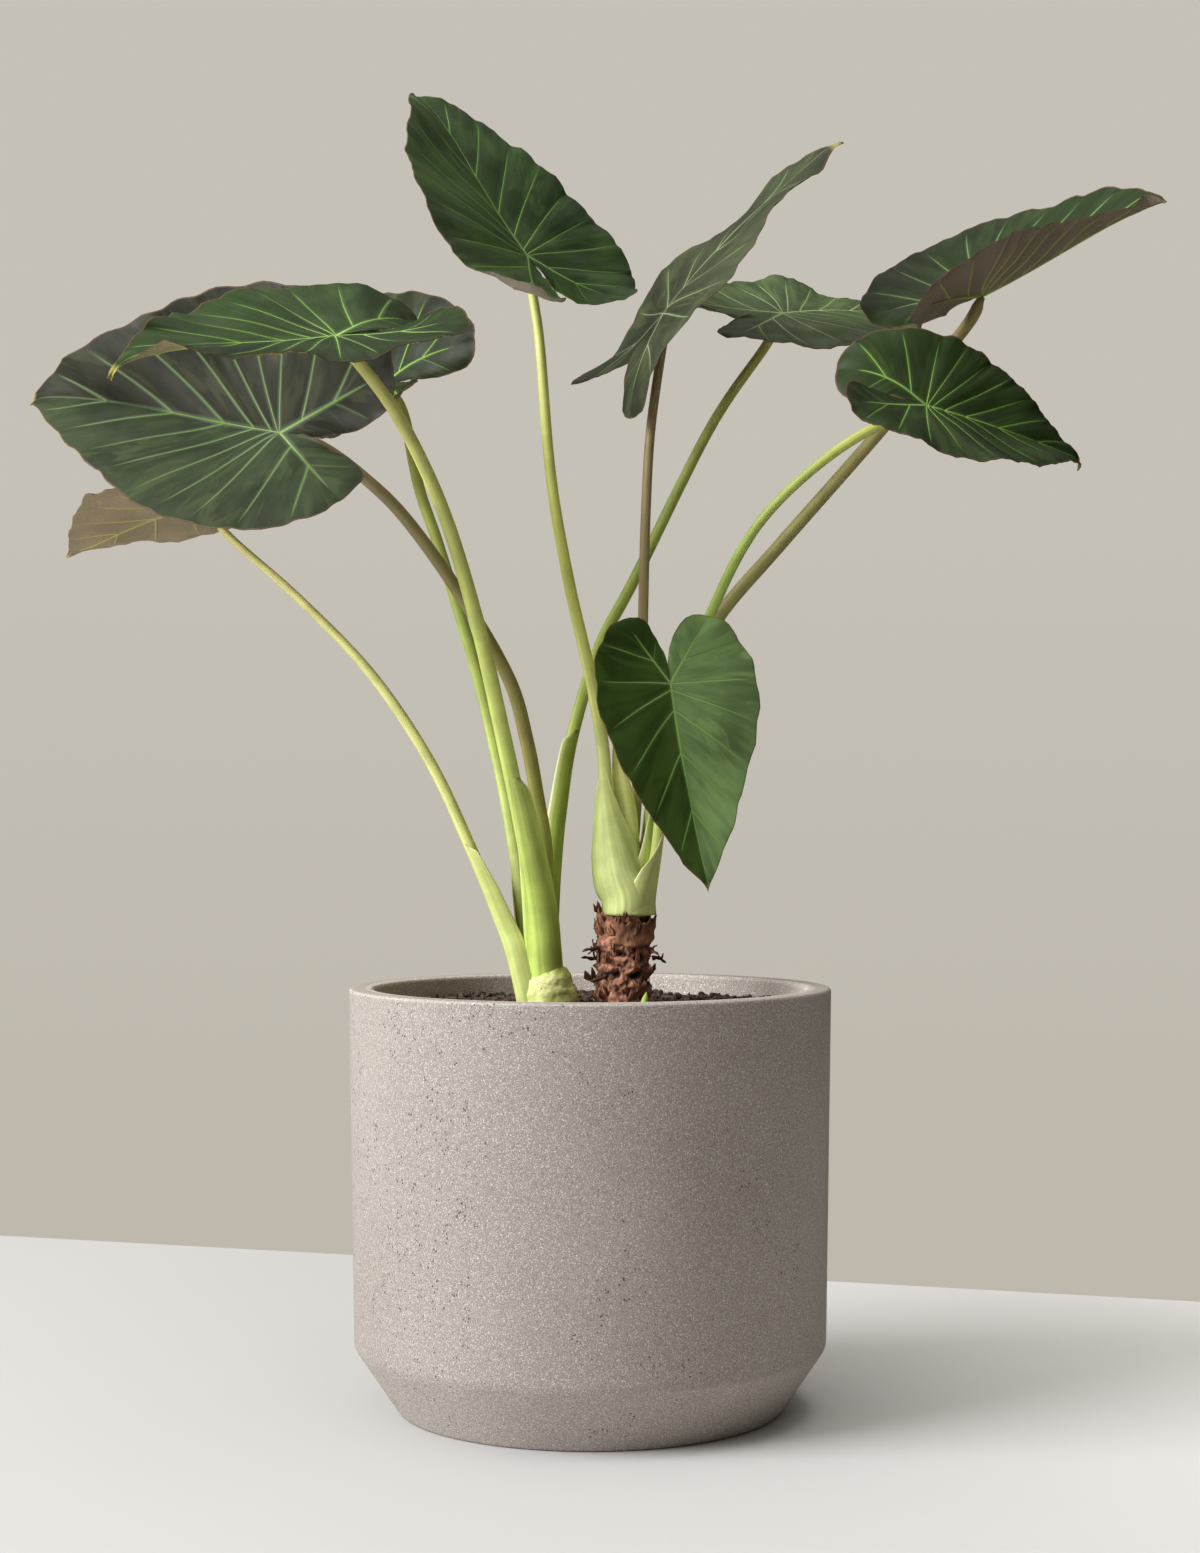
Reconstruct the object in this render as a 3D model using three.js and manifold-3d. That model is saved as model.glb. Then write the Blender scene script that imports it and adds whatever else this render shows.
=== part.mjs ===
// A potted alocasia: ten arrow-shaped blades on long petioles that rise from two crowns,
// one on a corm in the soil and one on a short brown rhizome, in a round stone-look pot.
// Millimetres, +Z up. The origin is the middle of the pot's underside; the plant faces -Y.
import * as THREE from 'three';
import { mergeVertices } from 'three/addons/utils/BufferGeometryUtils.js';
import Module from 'manifold-3d';

const wasm = await Module();
wasm.setup();

// ---------------------------------------------------------------- driving dimensions
const clearance = 0.3;             // gap between pieces that touch

const pot = {
  height: 304,
  rimRadius: 175,
  wallFootRadius: 171,             // outside, where the upright wall meets the foot's slope
  footHeight: 47,
  footRadius: 139,
  wall: 18,
  floor: 22,
  rimRound: 2,
  sides: 48,
};
const drain = { count: 3, radius: 9, ring: 70 };
const soilDrop = 14;               // from the rim down to the soil

const corm = { x: -36, y: 6, radius: 24, neckRadius: 21, top: 25, depth: 36 };
const rhizome = { x: 26, y: 10, radius: 22, top: 66, depth: 44 };
const collar = { thickness: 1.8, height: 15, below: 3 };

const bladeThickness = 1.2;
const neckRadius = 0.8;            // a petiole's tip, where it meets the blade
const neckLength = 9;
const uprightFoot = 14;            // how far a petiole rises straight from its crown
const petioleSides = 8;

// Blade outline of the left half, as shares of the length from petiole joint to tip.
const outerMargin = [
  [-0.43, 0.21], [-0.37, 0.34], [-0.19, 0.43], [0.05, 0.455], [0.28, 0.41],
  [0.50, 0.315], [0.70, 0.20], [0.85, 0.10], [0.945, 0.032], [1, 0],
];
const innerMargin = [[-0.10, 0], [-0.20, 0.02], [-0.32, 0.055], [-0.41, 0.12], [-0.43, 0.21]];
const basalRib = [-0.34, 0.20];    // where the rib of the basal lobe ends
const midribEnd = 0.985;
const halfWidth = 0.45;
// Each lateral vein: where it leaves the ribs (negative on the basal rib) and where it
// meets the outer margin, both as shares of their length.
const veinRoots = [-1, -0.62, -0.28, 0, 0.03, 0.12, 0.26, 0.42, 0.60, 0.80, 1];
const veinEnds = [0, 0.10, 0.22, 0.335, 0.43, 0.52, 0.61, 0.70, 0.79, 0.89, 1];
const lobeVeins = 3;               // the veins before this one leave the basal rib
const veinBow = 0.16;

// Blades. joint is x, y and the height above the soil. heading, pitch and roll turn the
// midrib and the blade about it; fold raises each half; cup rounds it; bend and curl bow
// the midrib along its length and at its tip; sweep bends it sideways; lift raises a lobe.
const blades = {
  top: { joint: [-47, 20, 553], length: 204, width: 0.99, lobe: 0.81,
    heading: 146, pitch: 51, roll: 8, foldLeft: -8, foldRight: 30, foldTip: 4, cup: -8,
    bend: 10, curl: -34, sweep: -16, liftLeft: 40, liftRight: 27 },
  large_left: { joint: [-216, -90, 405], length: 237, width: 0.94, lobe: 1.02,
    heading: 144, pitch: 12, roll: -60, foldLeft: 16, foldRight: 39, foldTip: 0, cup: 0,
    bend: 24, curl: -39, sweep: 9, liftLeft: -2, liftRight: 0 },
  upper_left: { joint: [-165, -205, 451], length: 162, width: 0.99, lobe: 1.14,
    heading: 208, pitch: -12, roll: -18, foldLeft: 0, foldRight: 19, foldTip: 0, cup: 0,
    bend: 17, curl: -41, sweep: 11, liftLeft: 17, liftRight: -33 },
  rear_left: { joint: [-156, 60, 465], length: 163, width: 0.96, lobe: 1.08,
    heading: 134, pitch: 4, roll: -57, foldLeft: 18, foldRight: 23, foldTip: 0, cup: 0,
    bend: -10, curl: 0, sweep: 0, liftLeft: 29, liftRight: -29 },
  low_left: { joint: [-291, 60, 374], length: 166, width: 1.02, lobe: 1,
    heading: 143, pitch: -3, roll: 4, foldLeft: 2, foldRight: 0, foldTip: 0, cup: 0,
    bend: -19, curl: 18, sweep: -7, liftLeft: 0, liftRight: 0 },
  edge_on: { joint: [55, 40, 514], length: 181, width: 0.97, lobe: 1.07,
    heading: -3, pitch: 54, roll: 19, foldLeft: -5, foldRight: 3, foldTip: 0, cup: 0,
    bend: -21, curl: 14, sweep: -9, liftLeft: 24, liftRight: -23 },
  rear_right: { joint: [149, 120, 530], length: 172, width: 1.01, lobe: 1.09,
    heading: 32, pitch: 11, roll: 27, foldLeft: 3, foldRight: 1, foldTip: 0, cup: 0,
    bend: -21, curl: -10, sweep: 16, liftLeft: 5, liftRight: 25 },
  upper_right: { joint: [292, 40, 528], length: 162, width: 1.08, lobe: 1.03,
    heading: 17, pitch: 27, roll: -8, foldLeft: 50, foldRight: 18, foldTip: -6, cup: -6,
    bend: 5, curl: -30, sweep: -64, liftLeft: -12, liftRight: -11 },
  lower_right: { joint: [238, -60, 429], length: 133, width: 1.05, lobe: 1.09,
    heading: 5, pitch: -15, roll: 47, foldLeft: 19, foldRight: 11, foldTip: 0, cup: 0,
    bend: -21, curl: 0, sweep: 19, liftLeft: -72, liftRight: 24 },
  front: { joint: [54, -150, 227], length: 142, width: 0.98, lobe: 0.76,
    heading: -49, pitch: -78, roll: 19, foldLeft: 1, foldRight: 16, foldTip: 0, cup: 0,
    bend: -7, curl: 4, sweep: 8, liftLeft: 9, liftRight: 25 },
};

// Petioles, named as their blades. base is where the petiole leaves its crown; route is
// the points above that, each x, y and the height above the soil; sheath is the half
// width and half depth of the base, turned by facing; radii are low down and at the blade.
const petioles = {
  top: { crown: rhizome, base: [25, -7], sheath: [17, 6], facing: 0, sheathTop: 95,
    radii: [5.2, 3.4], route: [[19, -6, 100], [12, -3, 150], [9, 1, 190], [0, 3, 241],
      [-16, 6, 312], [-29, 10, 389], [-37, 16, 484], [-42, 18, 520]] },
  large_left: { crown: corm, base: [-33, 12], sheath: [6.5, 6.5], facing: 0, sheathTop: 90,
    radii: [5.8, 4], route: [[-33, 9, 80], [-33, 3, 114], [-39, -4, 154], [-46, -14, 193],
      [-58, -25, 236], [-89, -44, 291], [-129, -65, 347], [-160, -77, 377], [-189, -86, 397]] },
  upper_left: { crown: corm, base: [-32, -6], sheath: [13, 7.5], facing: 0, sheathTop: 190,
    radii: [6.8, 4], route: [[-40, -11, 79], [-50, -26, 136], [-64, -52, 206],
      [-78, -83, 271], [-99, -125, 344], [-126, -166, 402], [-154, -196, 439]] },
  rear_left: { crown: corm, base: [-47, 17], sheath: [6, 6], facing: 0, sheathTop: 90,
    radii: [5, 4], route: [[-52, 21, 85], [-61, 23, 143], [-71, 27, 191], [-86, 33, 251],
      [-113, 43, 339], [-129, 49, 386], [-141, 56, 441]] },
  low_left: { crown: corm, base: [-52, 2], sheath: [6.5, 6.5], facing: 0, sheathTop: 110,
    radii: [5, 2.8], route: [[-65, 5, 60], [-87, 10, 113], [-118, 19, 178], [-162, 31, 243],
      [-217, 43, 300], [-271, 54, 348]] },
  edge_on: { crown: rhizome, base: [20, 25], sheath: [5.5, 5.5], facing: 0, sheathTop: 60,
    radii: [4.2, 3.4], route: [[30, 22, 110], [34, 20, 150], [37, 20, 209], [39, 24, 283],
      [41, 29, 358], [45, 34, 427], [55, 39, 499]] },
  rear_right: { crown: corm, base: [-17, 16], sheath: [7, 7], facing: 0, sheathTop: 170,
    radii: [5.2, 4.6], route: [[-19, 22, 60], [-24, 27, 98], [-24, 32, 141], [-17, 39, 198],
      [6, 52, 266], [33, 64, 317], [92, 94, 437], [136, 113, 504]] },
  upper_right: { crown: rhizome, base: [34, 28], sheath: [6.5, 6.5], facing: 0, sheathTop: 60,
    radii: [6, 5.2], route: [[41, 29, 110], [48, 29, 158], [67, 29, 232], [95, 31, 286],
      [141, 33, 340], [220, 36, 430], [279, 39, 502]] },
  lower_right: { crown: rhizome, base: [43, 17], sheath: [5.5, 5.5], facing: 0, sheathTop: 60,
    radii: [4, 3.5], route: [[44, 12, 110], [45, 8, 150], [60, -4, 216], [88, -19, 286],
      [111, -32, 333], [136, -40, 365], [171, -50, 395], [204, -55, 415]] },
  front: { crown: rhizome, base: [43, 2], sheath: [6, 6], facing: 0, sheathTop: 70,
    radii: [4.4, 3.5], route: [[49, -6, 120], [53, -45, 175], [54, -100, 215],
      [54, -135, 226]] },
};

// The rolled young leaf in the rhizome's crown, which ends in a point.
const youngLeaf = { base: [9, 13], radii: [5.5, 5, 1], route: [[17, 13, 110], [24, 12, 150],
  [26, 11, 186]] };

// Dry root stubs on the rhizome: direction round it, height above the soil, length, rise.
const roots = [
  { around: 200, height: 42, length: 15, rise: 12 },
  { around: 172, height: 34, length: 11, rise: 25 },
  { around: 222, height: 22, length: 14, rise: -35 },
  { around: -8, height: 34, length: 9, rise: 20 },
  { around: -35, height: 42, length: 7, rise: -10 },
  { around: 80, height: 30, length: 12, rise: -25 },
];
const rootRadius = 2.6;
const rootTipRadius = 0.8;

// A green shoot that comes up beside the rhizome.
const shoot = { gap: 6, around: -62, radius: 3.2, height: 11 };

// ---------------------------------------------------------------- helpers
const radians = THREE.MathUtils.degToRad;

function finish(colour, roughness) {
  return new THREE.MeshStandardMaterial({ color: colour, roughness, metalness: 0 });
}

const materials = {
  pot: finish('#b9aea3', 0.85),
  soil: finish('#3a2c22', 0.95),
  blade: finish('#3b5233', 0.5),
  petiole: finish('#a8b566', 0.5),
  corm: finish('#b7c08a', 0.6),
  bark: finish('#6d4c34', 0.9),
  root: finish('#3c2a1f', 0.9),
};

function named(name, geometry, material) {
  const piece = new THREE.Mesh(geometry, material);
  piece.name = name;
  return piece;
}

/** A closed mesh with each point once, from loose triangles of points. */
function welded(points, triangles) {
  const geometry = new THREE.BufferGeometry();
  geometry.setAttribute('position', new THREE.Float32BufferAttribute(points, 3));
  geometry.setIndex(triangles);
  return geometry;
}

function positionOnly(geometry) {
  const bare = geometry.clone();
  bare.deleteAttribute('normal');
  bare.deleteAttribute('uv');
  return mergeVertices(bare);
}

/** A solid of revolution about Z, from radius and height pairs going round its section. */
function turned(profile, sides) {
  const points = profile.map(([radius, height]) => new THREE.Vector2(radius, height));
  const geometry = new THREE.LatheGeometry(points, sides);
  geometry.rotateX(Math.PI / 2);
  return positionOnly(geometry);
}

function toManifold(geometry) {
  const bare = positionOnly(geometry);
  return new wasm.Manifold(new wasm.Mesh({
    numProp: 3,
    vertProperties: new Float32Array(bare.attributes.position.array),
    triVerts: new Uint32Array(bare.index.array),
  }));
}

function fromManifold(solid) {
  const mesh = solid.getMesh();
  return welded(Array.from(mesh.vertProperties), Array.from(mesh.triVerts));
}

/** Catmull-Rom curve through two-number points. */
function outlineCurve(points) {
  return new THREE.CatmullRomCurve3(
    points.map(([x, y]) => new THREE.Vector3(x, y, 0)), false, 'catmullrom', 0.5);
}

/** A list's value at a fractional place in it. */
function between(list, place) {
  const low = Math.min(Math.floor(place), list.length - 2);
  return THREE.MathUtils.lerp(list[low], list[low + 1], place - low);
}

// ---------------------------------------------------------------- pot and soil
const soilHeight = pot.height - soilDrop;
const innerRimRadius = pot.rimRadius - pot.wall;

/** Outside radius of the upright wall at a height, and so the cavity's with the wall off. */
function wallRadius(height) {
  const share = (height - pot.footHeight) / (pot.height - pot.footHeight);
  return THREE.MathUtils.lerp(pot.wallFootRadius, pot.rimRadius, share);
}

const cavityFootHeight = pot.footHeight + pot.wall / 2;
const cavityFootRadius = wallRadius(cavityFootHeight) - pot.wall;
const cavityFloorRadius = pot.footRadius - pot.wall / 2;

function potGeometry() {
  const body = turned([
    [0, 0],
    [pot.footRadius, 0],
    [pot.wallFootRadius, pot.footHeight],
    [pot.rimRadius, pot.height - pot.rimRound],
    [pot.rimRadius - pot.rimRound, pot.height],
    [innerRimRadius + pot.rimRound, pot.height],
    [innerRimRadius, pot.height - pot.rimRound],
    [cavityFootRadius, cavityFootHeight],
    [cavityFloorRadius, pot.floor],
    [0, pot.floor],
  ], pot.sides);
  let drained = toManifold(body);
  for (let i = 0; i < drain.count; i += 1) {
    const hole = new THREE.CylinderGeometry(drain.radius, drain.radius, 3 * pot.floor, 16);
    hole.rotateX(Math.PI / 2);
    hole.translate(drain.ring, 0, 0);
    hole.rotateZ(2 * Math.PI * i / drain.count);
    drained = drained.subtract(toManifold(hole));
  }
  return fromManifold(drained);
}

function soilGeometry() {
  const filling = turned([
    [0, pot.floor + clearance],
    [cavityFloorRadius - clearance, pot.floor + clearance],
    [cavityFootRadius - clearance, cavityFootHeight],
    [wallRadius(soilHeight) - pot.wall - clearance, soilHeight],
    [0, soilHeight],
  ], pot.sides);
  const pockets = [cormGeometry(clearance), rhizomeGeometry(clearance), shootGeometry(clearance)];
  let soil = toManifold(filling);
  for (const pocket of pockets) {
    pocket.translate(0, 0, soilHeight);
    soil = soil.subtract(toManifold(pocket));
  }
  return fromManifold(soil);
}

// ---------------------------------------------------------------- crowns
/** The pale corm that carries the left crown, grown by a margin for its pocket. */
function cormGeometry(margin = 0) {
  const geometry = turned([
    [0, -corm.depth - margin],
    [corm.radius * 0.6 + margin, -corm.depth - margin],
    [corm.radius + margin, -corm.depth * 0.4],
    [corm.radius + margin, corm.top * 0.3],
    [corm.neckRadius + margin, corm.top],
    [0, corm.top],
  ], 20);
  return geometry.translate(corm.x, corm.y, 0);
}

/** The woody rhizome, with three ring scars where old petioles were. */
function rhizomeGeometry(margin = 0) {
  const scar = 1.2;
  const radius = rhizome.radius + margin;
  return turned([
    [0, -rhizome.depth - margin],
    [radius * 0.7, -rhizome.depth - margin],
    [radius, -rhizome.depth * 0.5],
    [radius - scar, 0],
    [radius, rhizome.top * 0.25],
    [radius - scar, rhizome.top * 0.4],
    [radius, rhizome.top * 0.6],
    [radius - scar, rhizome.top * 0.72],
    [radius - scar, rhizome.top],
    [0, rhizome.top],
  ], 20).translate(rhizome.x, rhizome.y, 0);
}

/** The dry brown remains of a sheath round the rhizome's top. */
function collarGeometry() {
  const inside = rhizome.radius + clearance;
  const top = rhizome.top - collar.below;
  return turned([
    [inside, top - collar.height],
    [inside + collar.thickness, top - collar.height],
    [inside + collar.thickness, top],
    [inside, top],
    [inside, top - collar.height],
  ], 20).translate(rhizome.x, rhizome.y, 0);
}

function rootGeometry(root) {
  const geometry = new THREE.CylinderGeometry(rootTipRadius, rootRadius, root.length, 6);
  geometry.rotateZ(-Math.PI / 2);
  geometry.translate(root.length / 2, 0, 0);
  geometry.rotateY(-radians(root.rise));
  const tilt = rootRadius * Math.abs(Math.sin(radians(root.rise)));
  const start = rhizome.radius + tilt + clearance;
  geometry.translate(start, 0, root.height);
  geometry.rotateZ(radians(root.around));
  return positionOnly(geometry.translate(rhizome.x, rhizome.y, 0));
}

function shootGeometry(margin = 0) {
  const away = rhizome.radius + shoot.gap;
  const angle = radians(shoot.around);
  const radius = shoot.radius + margin;
  return turned([
    [0, -shoot.height - margin],
    [radius, -shoot.height - margin],
    [radius, shoot.height * 0.3],
    [radius * 0.6, shoot.height * 0.7],
    [0, shoot.height],
  ], 10).translate(rhizome.x + away * Math.cos(angle), rhizome.y + away * Math.sin(angle), 0);
}

// ---------------------------------------------------------------- petioles
/** A closed tube with an oval section: section(share) gives its half width and depth. */
function tapered(points, steps, section) {
  const curve = new THREE.CatmullRomCurve3(points, false, 'catmullrom', 0.5);
  const vertices = [];
  const triangles = [];
  const side = new THREE.Vector3(1, 0, 0);
  for (let step = 0; step <= steps; step += 1) {
    const share = step / steps;
    const centre = curve.getPointAt(share);
    const along = curve.getTangentAt(share);
    side.addScaledVector(along, -side.dot(along)).normalize();
    const depth = new THREE.Vector3().crossVectors(along, side);
    const [halfWide, halfDeep] = section(share);
    for (let corner = 0; corner < petioleSides; corner += 1) {
      const angle = 2 * Math.PI * corner / petioleSides;
      const point = centre.clone()
        .addScaledVector(side, halfWide * Math.cos(angle))
        .addScaledVector(depth, halfDeep * Math.sin(angle));
      vertices.push(...point.toArray());
    }
  }
  for (let step = 0; step < steps; step += 1) {
    for (let corner = 0; corner < petioleSides; corner += 1) {
      const next = (corner + 1) % petioleSides;
      const a = step * petioleSides + corner;
      const b = step * petioleSides + next;
      triangles.push(a, b, b + petioleSides, a, b + petioleSides, a + petioleSides);
    }
  }
  const last = steps * petioleSides;
  for (let corner = 1; corner < petioleSides - 1; corner += 1) {
    triangles.push(0, corner + 1, corner);
    triangles.push(last, last + corner, last + corner + 1);
  }
  return welded(vertices, triangles);
}

function petioleGeometry(name) {
  const { crown, base, sheath, sheathTop, radii, route } = petioles[name];
  const blade = blades[name];
  const foot = crown.top + clearance;
  const start = [[...base, foot], [...base, foot + uprightFoot]];
  const points = [...start, ...route].map((point) => new THREE.Vector3(...point));
  const under = bladeAxes(blade).up.multiplyScalar(-bladeThickness / 2 - clearance - neckRadius);
  points.push(new THREE.Vector3(...blade.joint).add(under));
  const length = new THREE.CatmullRomCurve3(points, false, 'catmullrom', 0.5).getLength();
  const section = (share) => {
    const done = share * length;
    const wrap = Math.max(0, 1 - done / sheathTop);
    const swell = wrap * wrap * (3 - 2 * wrap);
    const neck = Math.min(1, (length - done) / neckLength);
    const round = THREE.MathUtils.lerp(radii[0], radii[1], share);
    return [0, 1].map((axis) => {
      const full = THREE.MathUtils.lerp(round, sheath[axis], swell);
      return THREE.MathUtils.lerp(neckRadius, full, neck);
    });
  };
  const steps = Math.ceil(length / 38);
  return tapered(points, steps, section);
}

function youngLeafGeometry() {
  const { base, radii, route } = youngLeaf;
  const foot = rhizome.top + clearance;
  const start = [[...base, foot], [...base, foot + uprightFoot]];
  const points = [...start, ...route].map((point) => new THREE.Vector3(...point));
  const section = (share) => {
    const radius = between(radii, share * (radii.length - 1));
    return [radius, radius];
  };
  return tapered(points, 8, section);
}

// ---------------------------------------------------------------- blades
const outerCurve = outlineCurve(outerMargin);
const innerCurve = outlineCurve(innerMargin);

/** The midrib's direction, the left side and the upper face's normal at the joint. */
function bladeAxes({ heading, pitch, roll }) {
  const [h, p, r] = [heading, pitch, roll].map(radians);
  const along = new THREE.Vector3(
    Math.cos(h) * Math.cos(p), Math.sin(h) * Math.cos(p), Math.sin(p));
  const level = new THREE.Vector3(-Math.sin(h), Math.cos(h), 0);
  const upright = new THREE.Vector3().crossVectors(along, level);
  const left = level.clone().multiplyScalar(Math.cos(r)).addScaledVector(upright, Math.sin(r));
  const up = upright.clone().multiplyScalar(Math.cos(r)).addScaledVector(level, -Math.sin(r));
  return { along, left, up };
}

/** A point of the flat outline on lateral vein number vein, from its root to the margin. */
function outerPoint(vein, share) {
  const root = between(veinRoots, vein);
  const start = root < 0
    ? new THREE.Vector3(-root * basalRib[0], -root * basalRib[1], 0)
    : new THREE.Vector3(root * midribEnd, 0, 0);
  const end = outerCurve.getPointAt(between(veinEnds, vein));
  const bow = veinBow * share * (1 - share) * end.distanceTo(start);
  const point = start.lerp(end, share);
  point.x -= bow * THREE.MathUtils.clamp(root + 0.25, 0, 1);
  return point;
}

/** A point of the flat outline between the basal rib and the notch. */
function innerPoint(place, share) {
  const start = new THREE.Vector3(place * basalRib[0], place * basalRib[1], 0);
  return start.lerp(innerCurve.getPointAt(place), share);
}

/** Bends a flat outline point of one half into the blade's real shape. */
function shaped(flat, half, blade, axes) {
  const left = half > 0;
  const x = flat.x * (flat.x < 0 ? blade.lobe : 1);
  const aside = Math.abs(flat.y) * blade.width * blade.length;

  // across the blade: the half rises at its fold angle and rounds by its cup
  const fold = radians((left ? blade.foldLeft : blade.foldRight)
    + blade.foldTip * THREE.MathUtils.clamp(x, 0, 1));
  const turn = radians(blade.cup) / (halfWidth * blade.length) || 1e-9;
  const out = (Math.sin(fold + turn * aside) - Math.sin(fold)) / turn;
  const rise = -(Math.cos(fold + turn * aside) - Math.cos(fold)) / turn;

  // along it: small steps from the joint to the tip, or back into the lobe
  const lift = left ? blade.liftLeft : blade.liftRight;
  const pitchAt = (reach) => radians(x >= 0
    ? blade.bend * reach + blade.curl * reach ** 4
    : -lift * THREE.MathUtils.clamp((reach - 0.1) / 0.33, 0, 2));
  const headingAt = (reach) => radians(x >= 0 ? blade.sweep * reach : 0);
  const steps = 24;
  const sign = x >= 0 ? 1 : -1;
  const spine = new THREE.Vector3();
  for (let step = 0; step < steps; step += 1) {
    const reach = Math.abs(x) * (step + 0.5) / steps;
    const stride = Math.abs(x) * blade.length / steps;
    spine.x += sign * stride * Math.cos(pitchAt(reach)) * Math.cos(headingAt(reach));
    spine.y += stride * Math.cos(pitchAt(reach)) * Math.sin(headingAt(reach));
    spine.z += sign * stride * Math.sin(pitchAt(reach));
  }
  const endPitch = pitchAt(Math.abs(x));
  const endHeading = headingAt(Math.abs(x));
  const forward = new THREE.Vector3(Math.cos(endPitch) * Math.cos(endHeading),
    Math.cos(endPitch) * Math.sin(endHeading), Math.sin(endPitch));
  const across = new THREE.Vector3(-Math.sin(endHeading), Math.cos(endHeading), 0);
  const normal = new THREE.Vector3().crossVectors(forward, across);
  spine.addScaledVector(across, half * out).addScaledVector(normal, rise);
  return new THREE.Vector3(...blade.joint)
    .addScaledVector(axes.along, spine.x)
    .addScaledVector(axes.left, spine.y)
    .addScaledVector(axes.up, spine.z);
}

/** Thickens an open surface of shared points evenly about itself into a closed solid. */
function thickened(surface, thickness) {
  surface.computeVertexNormals();
  const { position, normal } = surface.attributes;
  const index = Array.from(surface.index.array);
  const count = position.count;
  const vertices = [];
  for (const side of [0.5, -0.5]) {
    for (let i = 0; i < count; i += 1) {
      const point = new THREE.Vector3().fromBufferAttribute(position, i);
      const outward = new THREE.Vector3().fromBufferAttribute(normal, i);
      vertices.push(...point.addScaledVector(outward, side * thickness).toArray());
    }
  }
  const triangles = [];
  const edges = new Set();
  for (let i = 0; i < index.length; i += 3) {
    const [a, b, c] = index.slice(i, i + 3);
    triangles.push(a, b, c, a + count, c + count, b + count);
    for (const [from, to] of [[a, b], [b, c], [c, a]]) edges.add(`${from},${to}`);
  }
  for (const edge of edges) {
    const [from, to] = edge.split(',').map(Number);
    if (edges.has(`${to},${from}`)) continue;
    triangles.push(to, from, from + count, to, from + count, to + count);
  }
  return welded(vertices, triangles);
}

function bladeGeometry(name) {
  const blade = blades[name];
  const axes = bladeAxes(blade);
  const veins = [0, 0.5, 1, 1.5, 2, 2.5, 3, 4, 5, 6, 7, 8, 9, 10];
  const shares = [0, 0.36, 0.7, 1];
  const points = [];
  const triangles = [];
  const patch = (rows, half, flip) => {
    const first = points.length / 3;
    for (const row of rows) {
      for (const flat of row) points.push(...shaped(flat, half, blade, axes).toArray());
    }
    const wide = shares.length;
    for (let row = 0; row < rows.length - 1; row += 1) {
      for (let column = 0; column < wide - 1; column += 1) {
        const a = first + row * wide + column;
        const corners = [a, a + wide, a + wide + 1, a + 1];
        if ((half > 0) !== flip) corners.reverse();
        const [p, q, r, s] = corners;
        triangles.push(p, q, r, p, r, s);
      }
    }
  };
  for (const half of [1, -1]) {
    patch(veins.map((vein) => shares.map((share) => outerPoint(vein, share))), half, true);
    const lobe = veins.filter((vein) => vein <= lobeVeins);
    patch(lobe.map((vein) => shares.map((share) => innerPoint(-between(veinRoots, vein), share))),
      half, false);
  }
  const surface = mergeVertices(welded(points, triangles), 1e-3);
  const kept = [];
  for (let i = 0; i < surface.index.count; i += 3) {
    const [a, b, c] = [0, 1, 2].map((corner) => surface.index.getX(i + corner));
    if (a !== b && b !== c && c !== a) kept.push(a, b, c);
  }
  surface.setIndex(kept);
  return thickened(surface, bladeThickness);
}

// ---------------------------------------------------------------- assembly
const alocasia = new THREE.Group();
alocasia.add(named('pot', potGeometry(), materials.pot));
alocasia.add(named('potting_soil', soilGeometry(), materials.soil));

const plant = new THREE.Group();
plant.position.z = soilHeight;
plant.add(named('left_corm', cormGeometry(), materials.corm));
plant.add(named('right_rhizome', rhizomeGeometry(), materials.bark));
plant.add(named('dried_sheath_collar', collarGeometry(), materials.bark));
roots.forEach((root, i) => {
  plant.add(named(`root_stub_${i + 1}`, rootGeometry(root), materials.root));
});
plant.add(named('side_shoot', shootGeometry(), materials.petiole));
plant.add(named('young_leaf', youngLeafGeometry(), materials.petiole));
for (const name of Object.keys(blades)) {
  plant.add(named(`${name}_petiole`, petioleGeometry(name), materials.petiole));
  plant.add(named(`${name}_blade`, bladeGeometry(name), materials.blade));
}
alocasia.add(plant);

export default alocasia;
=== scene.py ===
import math

import bmesh
import bpy
import numpy as np
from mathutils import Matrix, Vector, noise


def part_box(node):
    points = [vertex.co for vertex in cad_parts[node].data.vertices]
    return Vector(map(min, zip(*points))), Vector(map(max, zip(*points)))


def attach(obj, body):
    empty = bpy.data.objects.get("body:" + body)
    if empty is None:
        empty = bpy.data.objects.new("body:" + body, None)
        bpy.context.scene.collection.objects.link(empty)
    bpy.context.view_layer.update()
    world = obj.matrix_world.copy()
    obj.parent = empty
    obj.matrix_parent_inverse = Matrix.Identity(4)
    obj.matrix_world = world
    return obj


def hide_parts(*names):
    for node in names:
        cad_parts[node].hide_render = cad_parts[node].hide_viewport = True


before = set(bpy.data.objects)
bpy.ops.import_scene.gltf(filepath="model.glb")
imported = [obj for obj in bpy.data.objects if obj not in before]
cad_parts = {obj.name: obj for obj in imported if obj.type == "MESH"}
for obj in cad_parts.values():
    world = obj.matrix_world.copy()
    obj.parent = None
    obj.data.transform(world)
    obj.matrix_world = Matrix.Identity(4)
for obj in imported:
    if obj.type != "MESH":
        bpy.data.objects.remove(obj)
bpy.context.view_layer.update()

MM = 0.001
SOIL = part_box("potting_soil")[1].z
POT_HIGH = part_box("pot")[1]
rng = np.random.default_rng(7)

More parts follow.
